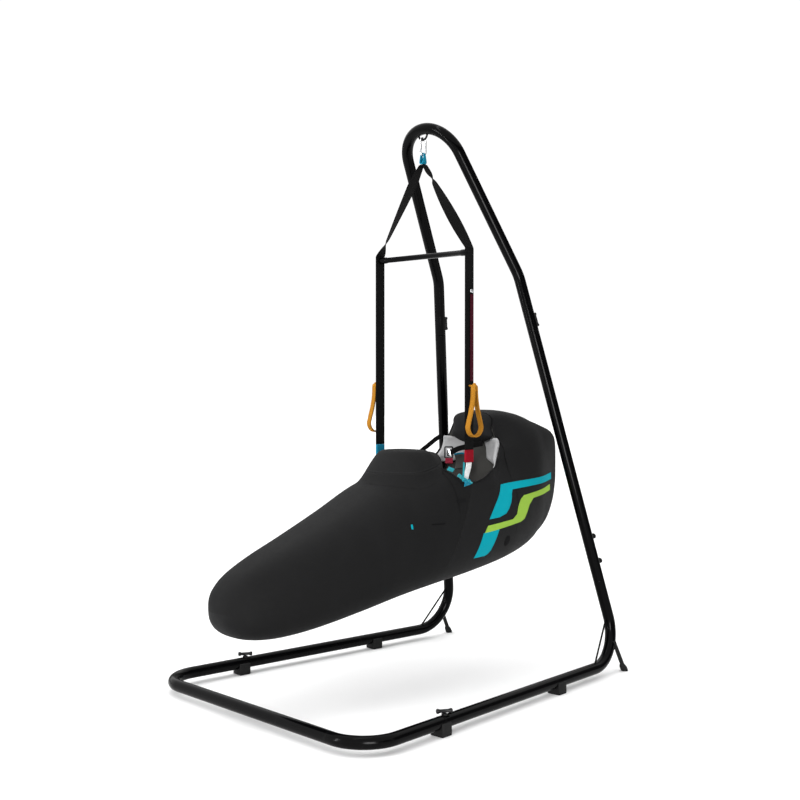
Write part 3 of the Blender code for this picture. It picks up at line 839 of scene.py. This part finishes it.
def wall_reach(angle):
    """How far the headrest reaches from its middle, in the plane of X and Z."""
    reach = 0.02
    while reach < 0.3:
        x, z = reach * cos(angle), WALL_Z + reach * sin(angle)
        low = WALL_LOW + WALL_LIFT * (x / WALL_SIDE) ** 2
        if z < low or abs(x) > skin_x(WALL_Y, z) - 0.0006:
            break
        reach += 0.0005
    return reach


def make_headrest():
    """The padded wall that closes the hood, and bulges forwards."""
    wall = start("uv_sphere", "hood_headrest", segments=96, ring_count=48, radius=1)
    wall.data.transform(Matrix.Rotation(radians(90), 4, "X"))
    known = {}
    for corner in wall.data.vertices:
        out = hypot(corner.co.x, corner.co.z)
        angle = round(atan2(corner.co.z, corner.co.x), 4)
        if angle not in known:
            known[angle] = wall_reach(angle)
        front = corner.co.y < 0
        reach = known[angle] * (out if front else min(out, 0.95))
        y = WALL_Y + (WALL_BULGE * corner.co.y if front else 0.012 * min(1.0, 3 * corner.co.y))
        corner.co = stand(reach * cos(angle), y, WALL_Z + reach * sin(angle))
    done(wall, POD, smooth=60)


def puffed(piece, voxel, cap):
    """Fills a cushion with air in a cloth simulation that moves no point beyond the cap."""
    modify(piece, "REMESH", mode="VOXEL", voxel_size=voxel)
    before = [corner.co.copy() for corner in piece.data.vertices]
    choose(piece)
    cloth = piece.modifiers.new("Cloth", "CLOTH")
    cloth.settings.use_pressure = True
    cloth.settings.uniform_pressure_force = 3.0
    cloth.settings.effector_weights.gravity = 0
    cloth.point_cache.frame_start, cloth.point_cache.frame_end = 1, 20
    for step in range(1, 21):
        bpy.context.scene.frame_set(step)
    bpy.ops.object.modifier_apply(modifier=cloth.name)
    bpy.context.scene.frame_set(1)
    for corner, old in zip(piece.data.vertices, before):
        move = corner.co - old
        if move.length > cap:
            corner.co = old + move.normalized() * cap


def make_cushions():
    """The seat and the back pad, from slightly shrunk copies of their solids."""
    for node in ("seat_pad", "back_pad"):
        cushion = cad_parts[node].copy()
        cushion.data = cushion.data.copy()
        cushion.data.materials.clear()
        bpy.context.scene.collection.objects.link(cushion)
        cushion.parent = None
        for key in list(cushion.keys()):
            del cushion[key]
        cushion.name = cushion.data.name = f"{node}_cushion"
        tidy(cushion)
        modify(cushion, "DISPLACE", strength=-0.003, mid_level=0)
        puffed(cushion, 0.006, 0.005)
        for corner in cushion.data.vertices:
            room = skin_x(corner.co.y + MIDDLE_Y, corner.co.z) - CUSHION_GAP
            corner.co.x = copysign(min(abs(corner.co.x), max(room, 0.02)), corner.co.x)
        done(cushion, CUSHION, node, smooth=60)


# Shoulder wing, from its lower tip up: z, the y and x of its inner edge, and the y and x of its outer edge
WING = mm(
    (786, 1040, 150, 975, 188), (796, 1078, 90, 1006, 172), (810, 1090, 60, 1026, 159),
    (830, 1097, 50, 1042, 150), (850, 1100, 45, 1053, 147), (868, 1102, 34, 1059, 146),
    (882, 1103, 24, 1058, 144), (893, 1104, 18, 1054, 139),
)
WING_ROWS = smoothed(WING, 4)
WING_COLUMNS = 16
SHOULDER_WEB = mm(
    (146, 1050, 892), (158, 1030, 878), (172, 1005, 856), (188, 978, 832), (199, 950, 806), (206, 915, 776),
    (208, 885, 750),
)


@both_sides
def make_wings(label, side):
    """Grey mesh pads over the shoulders, up to the mouth's edge."""

    def place(column, row):
        z, y_in, x_in, y_out, x_out = WING_ROWS[row]
        share = column / WING_COLUMNS
        bend = share + 0.27 * sin(pi * share) * (1 - share)
        return stand(side * (x_in + (x_out - x_in) * bend), y_in + (y_out - y_in) * share**1.15, z)

    pad = grid(f"shoulder_wing_{label}", WING_COLUMNS, len(WING_ROWS) - 1, place)
    modify(pad, "SOLIDIFY", thickness=0.01, offset=0, use_even_offset=False)
    tidy(pad)
    puffed(pad, 0.004, 0.003)
    modify(pad, "SMOOTH", factor=0.5, iterations=5)
    done(pad, GREY_MESH, f"shoulder_pad_{label}", smooth=70)


def make_shoulder_web():
    """The thin strap down the right wing."""
    points = [stand(-x, y, z) for x, y, z in smoothed(SHOULDER_WEB, 6)]
    flat_strap("shoulder_web_right", points, Vector((0.45, 0.44, -0.77)), 0.017, WEB_BLACK)


def rounded_plate(name, width, height, depth, corner, edge=None):
    """A plate with round corners in X and Z, or a frame if its edge's width is given."""
    plate = start("plane", name, size=1)
    plate.data.transform(Matrix.Rotation(radians(90), 4, "X") @ Matrix.Diagonal((width, height, 1, 1)))
    with editing(plate, "VERT"):
        bpy.ops.mesh.bevel(offset=corner, segments=4, affect="VERTICES")
        if edge:
            bpy.ops.mesh.select_mode(type="FACE")
            bpy.ops.mesh.select_all(action="SELECT")
            bpy.ops.mesh.inset(thickness=edge)
            bpy.ops.mesh.delete(type="FACE")
    modify(plate, "SOLIDIFY", thickness=depth, offset=0)
    face_out(plate)
    soften(plate, depth * 0.25, 2, 40)
    return plate


CHEST_STRAP = mm((112, 1004, 874), (60, 985, 862), (0, 990, 849), (-45, 1004, 834), (-70, 1018, 832))
BUCKLE = stand(-0.068, 1.01, 0.831)
BUCKLE_ACROSS = Vector((0.76, 0.62, 0))
BUCKLE_OUT = Vector((0.62, -0.76, 0.12))


def make_chest():
    """The chest strap, with its buckle on the right and a red tab that hangs from it."""
    points = [stand(*p) for p in smoothed(CHEST_STRAP, 8)]
    flat_strap("chest_strap", points, Vector((0, -0.35, 1)), 0.02, WEB_BLACK)
    outer = rounded_plate("chest_buckle_frame", 0.036, 0.048, 0.005, 0.006, 0.0055)
    inner = rounded_plate("chest_buckle_plate", 0.016, 0.03, 0.003, 0.003)
    inner.data.materials.append(ALLOY[0])
    outer.data.materials.append(PLASTIC[0])
    buckle = joined([outer, inner], "chest_buckle")
    turn_to(buckle, BUCKLE, Z, BUCKLE_ACROSS)
    done(buckle, PLASTIC)
    tab = [BUCKLE + Vector((0.004, -0.002, -0.022 - 0.0035 * n)) + BUCKLE_OUT * 0.002 for n in range(7)]
    flat_strap("buckle_tab", tab, BUCKLE_ACROSS, 0.03, WEB_RED, 0.003)


def make_seat_flap():
    """The dark padded flap inside the mouth, with teal binding along its top."""

    def place(column, row):
        u, v = column / 12 - 0.5, row / 10
        x = -0.026 + 0.042 * u
        y = 1.04 + 0.042 * u + 0.008 * sin(pi * v)
        return stand(x, y, 0.768 + 0.058 * v - 0.005 * (2 * u) ** 2)

    flap = grid("seat_flap", 12, 10, place)
    modify(flap, "SOLIDIFY", thickness=0.01, offset=0)
    tidy(flap)
    soften(flap, 0.0035, 3, 60)
    done(flap, INSIDE, smooth=60)
    top = [place(column, 10) + Vector((0, 0, 0.0015)) for column in range(13)]
    done(cord_along("seat_flap_binding", top, 0.004), TEAL_CLOTH)


HIP_STRAP = mm((211.5, 763, 776.5), (218, 779, 763.5), (224.5, 800, 750), (227.5, 818, 741))


@both_sides
def make_hip_straps(label, side):
    """The teal webbing on the mouth's front, the left tag, and the loop that the riser ends in."""
    points = [stand(side * x, y, z) for x, y, z in smoothed(HIP_STRAP, 5)]
    flat_strap(f"hip_strap_{label}", points, Vector((side * 0.45, 0.2, 0.9)), 0.0125, WEB_AQUA, 0.003)
    if side > 0:
        tag = [stand(0.1965 + 0.0016 * n, 0.726 + 0.0042 * n, 0.8005 - 0.0018 * n) for n in range(6)]
        flat_strap("hip_tag", tag, Vector((0.5, 0, 0.87)), 0.015, WEB_AQUA, 0.003, 0)
    ring = []
    for n in range(25):
        angle = 2 * pi * n / 24
        ring.append(stand(side * (0.2185 + 0.0085 * cos(angle)), HANG_Y, 0.744 + 0.012 * sin(angle)))
    flat_strap(f"hip_loop_{label}", ring, Y, 0.034, WEB_TEAL, 0.0028)
    keeper = [stand(side * (0.2225 + 0.0007 * n), HANG_Y - 0.02, 0.752 + 0.0115 * n) for n in range(7)]
    flat_strap(f"hip_keeper_{label}", keeper, Y, 0.008, WEB_AQUA, 0.0022, 0)


def oval(y, z, half_y, half_z):
    angles = [2 * pi * n / 24 for n in range(24)]
    return [(y + half_y * cos(a), z + half_z * sin(a)) for a in angles]


UPPER_STRIPE = mm(
    (979, 728), (1421, 739.5), (1424, 713), (1049, 705), (1036, 690), (1023.5, 658), (1010, 637), (991.5, 621),
    (950, 611), (890, 609), (925, 660.5),
)
MIDDLE_STRIPE = mm(
    (1404, 693.6), (1407, 670), (1198, 661), (1164, 638.6), (1146, 610), (1128, 588), (1100, 579),
    (1065, 576.5), (865.5, 560), (882, 586), (1040, 595), (1068, 611), (1077.5, 641), (1095, 665),
    (1120.6, 677.5),
)
LOWER_STRIPE = mm((860, 561), (952, 566), (922, 489), (912, 478), (898, 472), (831, 471))
# The flat panels sewn on both sides of the pod: finish and (y, z) outline
PATCHES = {
    "upper_stripe": (TEAL_PANEL, UPPER_STRIPE),
    "middle_stripe": (LIME_PANEL, MIDDLE_STRIPE),
    "lower_stripe": (TEAL_PANEL, LOWER_STRIPE),
    "side_tag": (TEAL_PANEL, mm((527, 603), (527, 619), (534, 619), (534, 603))),
    "pocket_line": (PORT_MESH, mm((612, 611.5), (612, 614.5), (668, 613.5), (668, 610.5))),
    "woven_label": (BINDING, mm((733, 679), (733, 690), (773, 692), (773, 681))),
    "side_port": (PORT_MESH, oval(1.0226, 0.5142, 0.017, 0.02)),
}


def make_patch(name, finish, outline, side):
    panel = start("circle", name, vertices=len(outline), radius=1, fill_type="NGON")
    for corner, (y, z) in zip(panel.data.vertices, outline):
        corner.co = stand(0, y, z)
    with editing(panel, "FACE"):
        bpy.ops.mesh.quads_convert_to_tris(ngon_method="BEAUTY")
        bpy.ops.mesh.subdivide(number_cuts=12)
    for corner in panel.data.vertices:
        corner.co.x = side * (skin_x(corner.co.y + MIDDLE_Y, corner.co.z) + 0.0011)
    face_out(panel)
    if sum(face.normal.x * face.area for face in panel.data.polygons) * side < 0:
        with editing(panel):
            bpy.ops.mesh.flip_normals()
    modify(panel, "SOLIDIFY", thickness=0.0016, offset=-1)
    done(panel, finish, smooth=60)


def make_pod():
    make_pod_skin()
    make_cockpit()
    make_headrest()
    make_cushions()
    make_wings()
    make_shoulder_web()
    make_chest()
    make_seat_flap()
    make_hip_straps()
    for name, (finish, outline) in PATCHES.items():
        for label, side in LEFT_RIGHT:
            make_patch(f"{name}_{label}", finish, outline, side)
    make_binding()


# Webbing and hardware
def strap_turn(share, side):
    """An upper strap's twist at that share of its length, in degrees."""
    if side > 0:
        return -60 + 150 * share - 45 * (1 - eased(0.08, 0.24, share))
    return -28 + 70 * share + 48 * eased(0.8, 1.0, share)


@both_sides
def make_v_straps(label, side):
    first, last = stand(0.008, HANG_Y, STRAP_TOP), stand(RISER_X, HANG_Y, RISER_TOP + GAP)
    stations = []
    for share in shares(48):
        angle = radians(strap_turn(share, side))
        width = WEB * (0.45 + 0.55 * min(1, share * 5))
        across = Vector((side * cos(angle), sin(angle), 0)) * width
        stations.append((side_of(first.lerp(last, share), side), across))
    webbing(f"twisted_strap_{label}", stations, WEB_THICK * 0.8, WEB_BLACK, f"v_strap_{label}")


def make_saddle():
    """The webbing that joins the upper straps in the hanging loop."""
    places = [-0.012 + 0.002 * n for n in range(13)]
    saddle = [stand(x, HANG_Y, STRAP_TOP - 0.0012 - 45 * x * x) for x in places]
    flat_strap("strap_saddle", saddle, Y, 0.026, WEB_BLACK, 0.0028)


@both_sides
def make_risers(label, side):
    """Each riser, its sewn cuff and the webbing from the cuff to the mouth's edge."""
    x = side * RISER_X
    cloth, link_finish = (RED_CLOTH, WEB_WHITE) if side > 0 else (TEAL_CLOTH, WEB_TEAL)
    stations = [(stand(x, HANG_Y, RISER_LOW + (RISER_TOP - RISER_LOW) * share), Y * WEB) for share in shares(40)]
    webbing(f"riser_web_{label}", stations, WEB_THICK * 0.85, WEB_BLACK, f"riser_{label}")
    size = (0.01, 0.04, RISER_LOW - CUFF_LOW - 2 * GAP)
    cuff = block(f"sewn_cuff_{label}", size, stand(x, HANG_Y, (RISER_LOW + CUFF_LOW) / 2))
    soften(cuff, 0.0022, 4)
    done(cuff, cloth, f"riser_cuff_{label}")
    stations = []
    for share in shares(12):
        out = RISER_X + (RIM_X - RISER_X) * eased(0, 1, share)
        stations.append((stand(side * out, HANG_Y, CUFF_LOW + (RIM_Z - CUFF_LOW) * share), Y * 0.026))
    webbing(f"hip_web_{label}", stations, 0.0045, link_finish, f"hip_link_{label}", sewn=0.02)


PULLEY = mm((4, 0), (6.8, 0.8), (5.5, 3), (6.8, 5.2), (4, 6))


@both_sides
def make_speed_lines(label, side):
    """The maroon line on each riser's outer face, and its pulley."""
    y = HANG_Y + 0.0095
    points = [stand(side * (RISER_X + 0.0042), y, 1.11 + 0.31 * n / 24) for n in range(25)]
    flat_strap(f"speed_line_{label}", points, Y, 0.016, WEB_MAROON, 0.0034, 0)
    hub = stand(side * (RISER_X + 0.0016), y, 1.432)
    done(turned(f"pulley_{label}", PULLEY, 24, hub, X * side), ZINC)


# Brake toggle: one half of its loop, as (y, z), and the neck above it
KITE = mm((5, 1092), (8, 1050), (16, 1010), (30, 965), (34.5, 942), (22, 921), (0, 913.5))
NECK = mm((4, -16), (7.5, -12), (8.5, 0), (6, 12), (3, 16))


@both_sides
def make_handles(label, side):
    x = side * (RISER_X + HANDLE_OUT)
    kite = KITE + [(-y, z) for y, z in KITE[-2::-1]]
    stations = [(stand(x, HANG_Y + y, z), X * side * 0.019) for y, z in smoothed([*kite, kite[0]], 8)]
    web = strap(f"toggle_loop_{label}", stations, 0.0055, 0.03)
    neck = turned(f"toggle_neck_{label}", NECK, 20, stand(x, HANG_Y, 1.088), Z)
    ends = [stand(side * (RISER_X + 0.001), HANG_Y, 1.094), stand(x, HANG_Y, 1.092)]
    keeper = cord_along(f"toggle_keeper_{label}", ends, 0.0035)
    whole = joined([web, neck, keeper], f"brake_toggle_{label}")
    done(whole, WEB_ORANGE, f"brake_handle_{label}", smooth=50)


def make_bar():
    """The spreader bar, thicker at both ends, from (radius, distance from its end) steps."""
    steps = mm((8.5, 0), (11.8, 2), (12, 6), (12, 34), (10.2, 37))
    profile = [(r, step - BAR_HALF) for r, step in steps]
    profile += [(r, -z) for r, z in profile[::-1]]
    done(turned("spreader_tube", profile, 32, stand(0, HANG_Y, BAR_Z), X), SLEEVE, "spreader_bar")


def ring_points(top, across, half, length, count):
    """A long ring's centre line below its top, in the plane of Z and across."""
    points = []
    for n in range(count):
        angle = 2 * pi * (n + 0.5) / count
        drop = half if sin(angle) > 0 else length - half
        points.append(top + across * half * cos(angle) + Z * (half * sin(angle) - drop))
    return points


BEAD = mm((3.5, -4), (5.6, -1), (6.2, 2), (4, 4))
GATE = mm((3.6, -12), (4.8, -11), (5, 9), (4, 11))
PIN = mm((1.2, -4.6), (1.6, -4.3), (1.6, 4.3), (1.2, 4.6))


def make_hangers():
    """The eyelet, the carabiner in it and the webbing loop in that."""
    middle = stand(0, HANG_Y, EYELET_Z)
    ends = [middle + Vector((side * EYELET_HALF, 0, EYELET_HALF + 0.004)) for side in (-1, 1)]
    arc = []
    for share in shares(24):
        angle = pi * (1 + share)
        arc.append(middle + Vector((EYELET_HALF * cos(angle), 0, EYELET_HALF * (1 + sin(angle)))))
    eye = [cord_along("welded_eye", [ends[0], *arc, ends[1]], 0.0037, fine=5)]
    for side in (-1, 1):
        eye.append(turned("weld_bead", BEAD, 20, middle + Vector((side * EYELET_HALF, 0, EYELET_HALF)), Z))
    done(joined(eye, "welded_eye"), PAINT, "eyelet", body="arch")

    top = stand(0, HANG_Y, HOOK_TOP)
    ring = cord_along("carabiner_body", ring_points(top, Y, HOOK_HALF, HOOK_LENGTH, 40), HOOK_R, True, 5)
    gate = turned("carabiner_sleeve", GATE, 24, top + Vector((0, -HOOK_HALF, -0.034)), Z)
    pin = turned("gate_pin", PIN, 16, top + Vector((0, -HOOK_HALF, -0.0485)), X)
    done(joined([ring, gate, pin], "screw_carabiner"), ALLOY, "carabiner", body="carabiner_body")

    points = ring_points(stand(0, HANG_Y, LOOP_TOP), X, LOOP_HALF, LOOP_LENGTH, 48)
    stations = [(p, Y * (0.007 + 0.016 * (LOOP_TOP - p.z) / LOOP_LENGTH)) for p in points]
    stations.append(stations[0])
    webbing("hanging_loop_web", stations, 0.0036, WEB_TEAL, "hanging_loop", sewn=0.0, body="loop_body")


# Stand
def make_tubes():
    ends = [on_rail(BOW_END_Y - GAP, side) for side in (1, -1)]
    corners = [ends[0], stand(FRONT_HALF, 0, BASE_Z), stand(-FRONT_HALF, 0, BASE_Z), ends[1]]
    done(bent_tube("front_tube", corners, [FRONT_BEND] * 2), PAINT, "front_bow", body="stand")
    for label, side in LEFT_RIGHT:
        ends = [on_rail(BOW_END_Y, side), side_of(HEEL, side), on_leg(PLUG_SHARE, side)]
        done(bent_tube(f"heel_tube_{label}", ends, [HEEL_BEND]), PAINT, f"rail_{label}", body="stand")
        along = leg_direction(side)
        low, top = on_leg(PLUG_SHARE, side) + along * GAP, on_leg(SLIDE_SHARE, side)
        done(bent_tube(f"leg_tube_{label}", [low, top], []), PAINT, f"upright_{label}", body="stand")
        make_inner_tube(label, top, along)
    corners = [SHOULDER, ARCH_TOP, side_of(ARCH_TOP, -1), side_of(SHOULDER, -1)]
    ends = [on_leg(SLIDE_SHARE, side) + leg_direction(side) * GAP for side in (1, -1)]
    bends = [SHOULDER_BEND, ARCH_BEND, ARCH_BEND, SHOULDER_BEND]
    done(bent_tube("arch_tube", [ends[0], *corners, ends[1]], bends), PAINT, "top_arch", body="arch")


def make_inner_tube(label, top, along):
    """The bright inner tube, which on the stand slides out of the leg as the arch goes up; here it is fixed in
    place and rides on no body.
    """
    near = top - along * 0.0018
    tube = bent_tube(f"telescopic_tube_{label}", [top - along * INNER_TUBE, near], [], INNER_TUBE_R, 32)
    with editing(tube, "FACE"):
        pick(tube, "faces", lambda f: f.normal.dot(along) > 0.9 and (f.calc_center_median() - near).length < 0.004)
        push(top - near)
    top - along * 0.0002
    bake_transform(tube)
    done(tube, ZINC, f"inner_tube_{label}", body=None)


KNOB_BOSS = mm((8.8, 18), (9.5, 21.5), (9.5, 24.5), (7, 25.8))
KNOB_STEM = mm((4.5, 20), (4.5, 27), (6.2, 31.5), (6.2, 33))
HALF_BAR = mm((4.8, 26.8), (7.2, 25), (8, 22), (7.2, 18.4), (5.6, 13.4), (6, 0))
BOLT = mm((5, 20.5), (5.5, 24), (5.5, 33), (10, 34.5), (10.4, 39.5), (7.6, 42))


def make_knob(name, node, body, base, out, bar):
    """A T-shaped clamping knob: threaded boss, stem and crossbar."""
    boss = turned(f"{name}_boss", KNOB_BOSS, 24, base, out)
    stem = turned(f"{name}_stem", KNOB_STEM, 20, base, out)
    profile = [(r, -z) for r, z in HALF_BAR] + HALF_BAR[-2::-1]
    cross = turned(f"{name}_cross", profile, 20, base + out * KNOB_REACH, bar)
    done(joined([boss, stem, cross], name), PLASTIC, node, body=body)


@both_sides
def make_fittings(label, side):
    along = leg_direction(side)
    back = (Y - along * along.y).normalized()
    make_knob(f"arch_knob_{label}", f"height_knob_{label}", "arch", on_leg(KNOB_SHARE, side), back, along)
    base = on_rail(BASE_KNOB_Y, side)
    make_knob(f"rail_knob_{label}", f"base_knob_{label}", "stand", base, Z, Vector((0.6, 1.0, 0)))
    for place, y in FOOT_YS.items():
        make_foot(f"block_foot_{place}_{label}", f"foot_{place}_{label}", side, y)
    for place, share in BOLT_SHARES.items():
        bolt = turned(f"hook_bolt_{place}_{label}", BOLT, 24, on_leg(share, side), back)
        done(bolt, PLASTIC, f"leg_bolt_{place}_{label}", body="stand")
    make_kick_leg(label, side)
    low, top = on_rail(BRACE_ON_RAIL_Y, side), on_leg(BRACE_ON_LEG_SHARE, side)
    reach = (top - low).normalized() * 0.014
    brace = cord_along(f"thin_brace_{label}", [low + reach, top - reach], 0.0035)
    done(brace, PAINT, f"bend_brace_{label}", body="stand")


def make_foot(name, node, side, y):
    """A rubber block with softened edges that clips on the rail."""
    low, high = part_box(node)
    centre = (low + high) / 2
    yaw = atan2((FRONT_HALF - HEEL.x) * side, HEEL.y + MIDDLE_Y)
    foot = block(name, FOOT_SIZE, (0, 0, FOOT_SIZE[2] / 2))
    with editing(foot, "FACE"):
        bpy.ops.mesh.subdivide(number_cuts=1)
    soften(foot, 0.003, 3)
    foot.data.transform(Matrix.Translation((centre.x, centre.y, 0)) @ Matrix.Rotation(yaw, 4, "Z"))
    cutter = bent_tube(name + "_channel", [on_rail(y - 0.05, side), on_rail(y + 0.05, side)], [], TUBE_R + 0.0002)
    modify(foot, "BOOLEAN", operation="DIFFERENCE", solver="EXACT", object=cutter)
    bpy.data.objects.remove(cutter)
    done(foot, RUBBER, node, body="stand")


KICK_TIP = mm((13, 0), (14.2, 4), (14, 16), (11.8, 24), (9.8, 27), (8.6, 28))
KICK_R = 0.0082


def make_kick_leg(label, side):
    """The thin leg behind the heel, which leans but stands flat."""
    low, top = side_of(stand(0.462, 1.43, 0.0), side), side_of(stand(0.4555, 1.374, 0.11), side)
    along = top - low
    leg = turned(f"splayed_leg_{label}", [*KICK_TIP, (KICK_R, along.length)], 28)
    lean = Matrix.Identity(4)
    lean[0][2], lean[1][2] = along.x / along.z, along.y / along.z
    leg.data.transform(Matrix.Translation(low) @ lean)
    done(leg, RUBBER, f"kick_leg_{label}", body="stand")


# Studio
LAMPS = (
    ("left_strip", (-1.1, -4.4, 1.5), 0.12, 3.2, 92),
    ("right_strip", (4.3, 1.2, 1.5), 0.22, 2.8, 6),
    ("top_strip", (0.2, -0.9, 4.2), 0.22, 3.2, 18),
    ("sheen_box", (2.45, -1.75, 0.55), 1.0, 1.1, 80),
)
LAMPS_AIM = Vector((0, 0, 0.9))


def make_lamp(kind, name, place, power):
    bpy.ops.object.light_add(type=kind, location=place)
    lamp = bpy.context.object
    lamp.name = name
    lamp.data.energy = power
    aim(lamp, LAMPS_AIM - lamp.location)
    return lamp


def make_studio():
    floor = start("grid", "studio_floor", x_subdivisions=4, y_subdivisions=4, size=40)
    floor.data.materials.append(floor_finish())
    world = bpy.context.scene.world or bpy.data.worlds.new("Studio")
    bpy.context.scene.world = world
    world.use_nodes = True
    tree = world.node_tree
    back = tree.nodes["Background"]
    back.inputs["Color"].default_value = (1.0, 1.0, 1.0, 1.0)
    seen = tree.nodes.new("ShaderNodeLightPath").outputs["Is Camera Ray"]
    glow = tree.nodes.new("ShaderNodeMapRange")
    glow.inputs["To Min"].default_value = 0.16
    glow.inputs["To Max"].default_value = 1.05
    tree.links.new(seen, glow.inputs["Value"])
    tree.links.new(glow.outputs[0], back.inputs["Strength"])
    sky = make_lamp("SUN", "ceiling_light", (-0.6, -1.2, 5.0), 4.3)
    sky.data.angle = radians(150)
    for name, place, width, length, power in LAMPS:
        lamp = make_lamp("AREA", name, place, power)
        lamp.data.shape = "RECTANGLE"
        lamp.data.size, lamp.data.size_y = width, length
        lamp.visible_camera = False
        lamp.visible_diffuse = name != "sheen_box"
    bpy.context.scene.view_settings.view_transform = "Standard"


make_tubes()
make_fittings()
make_hangers()
make_bar()
make_v_straps()
make_saddle()
make_risers()
make_speed_lines()
make_handles()
make_pod()
make_studio()
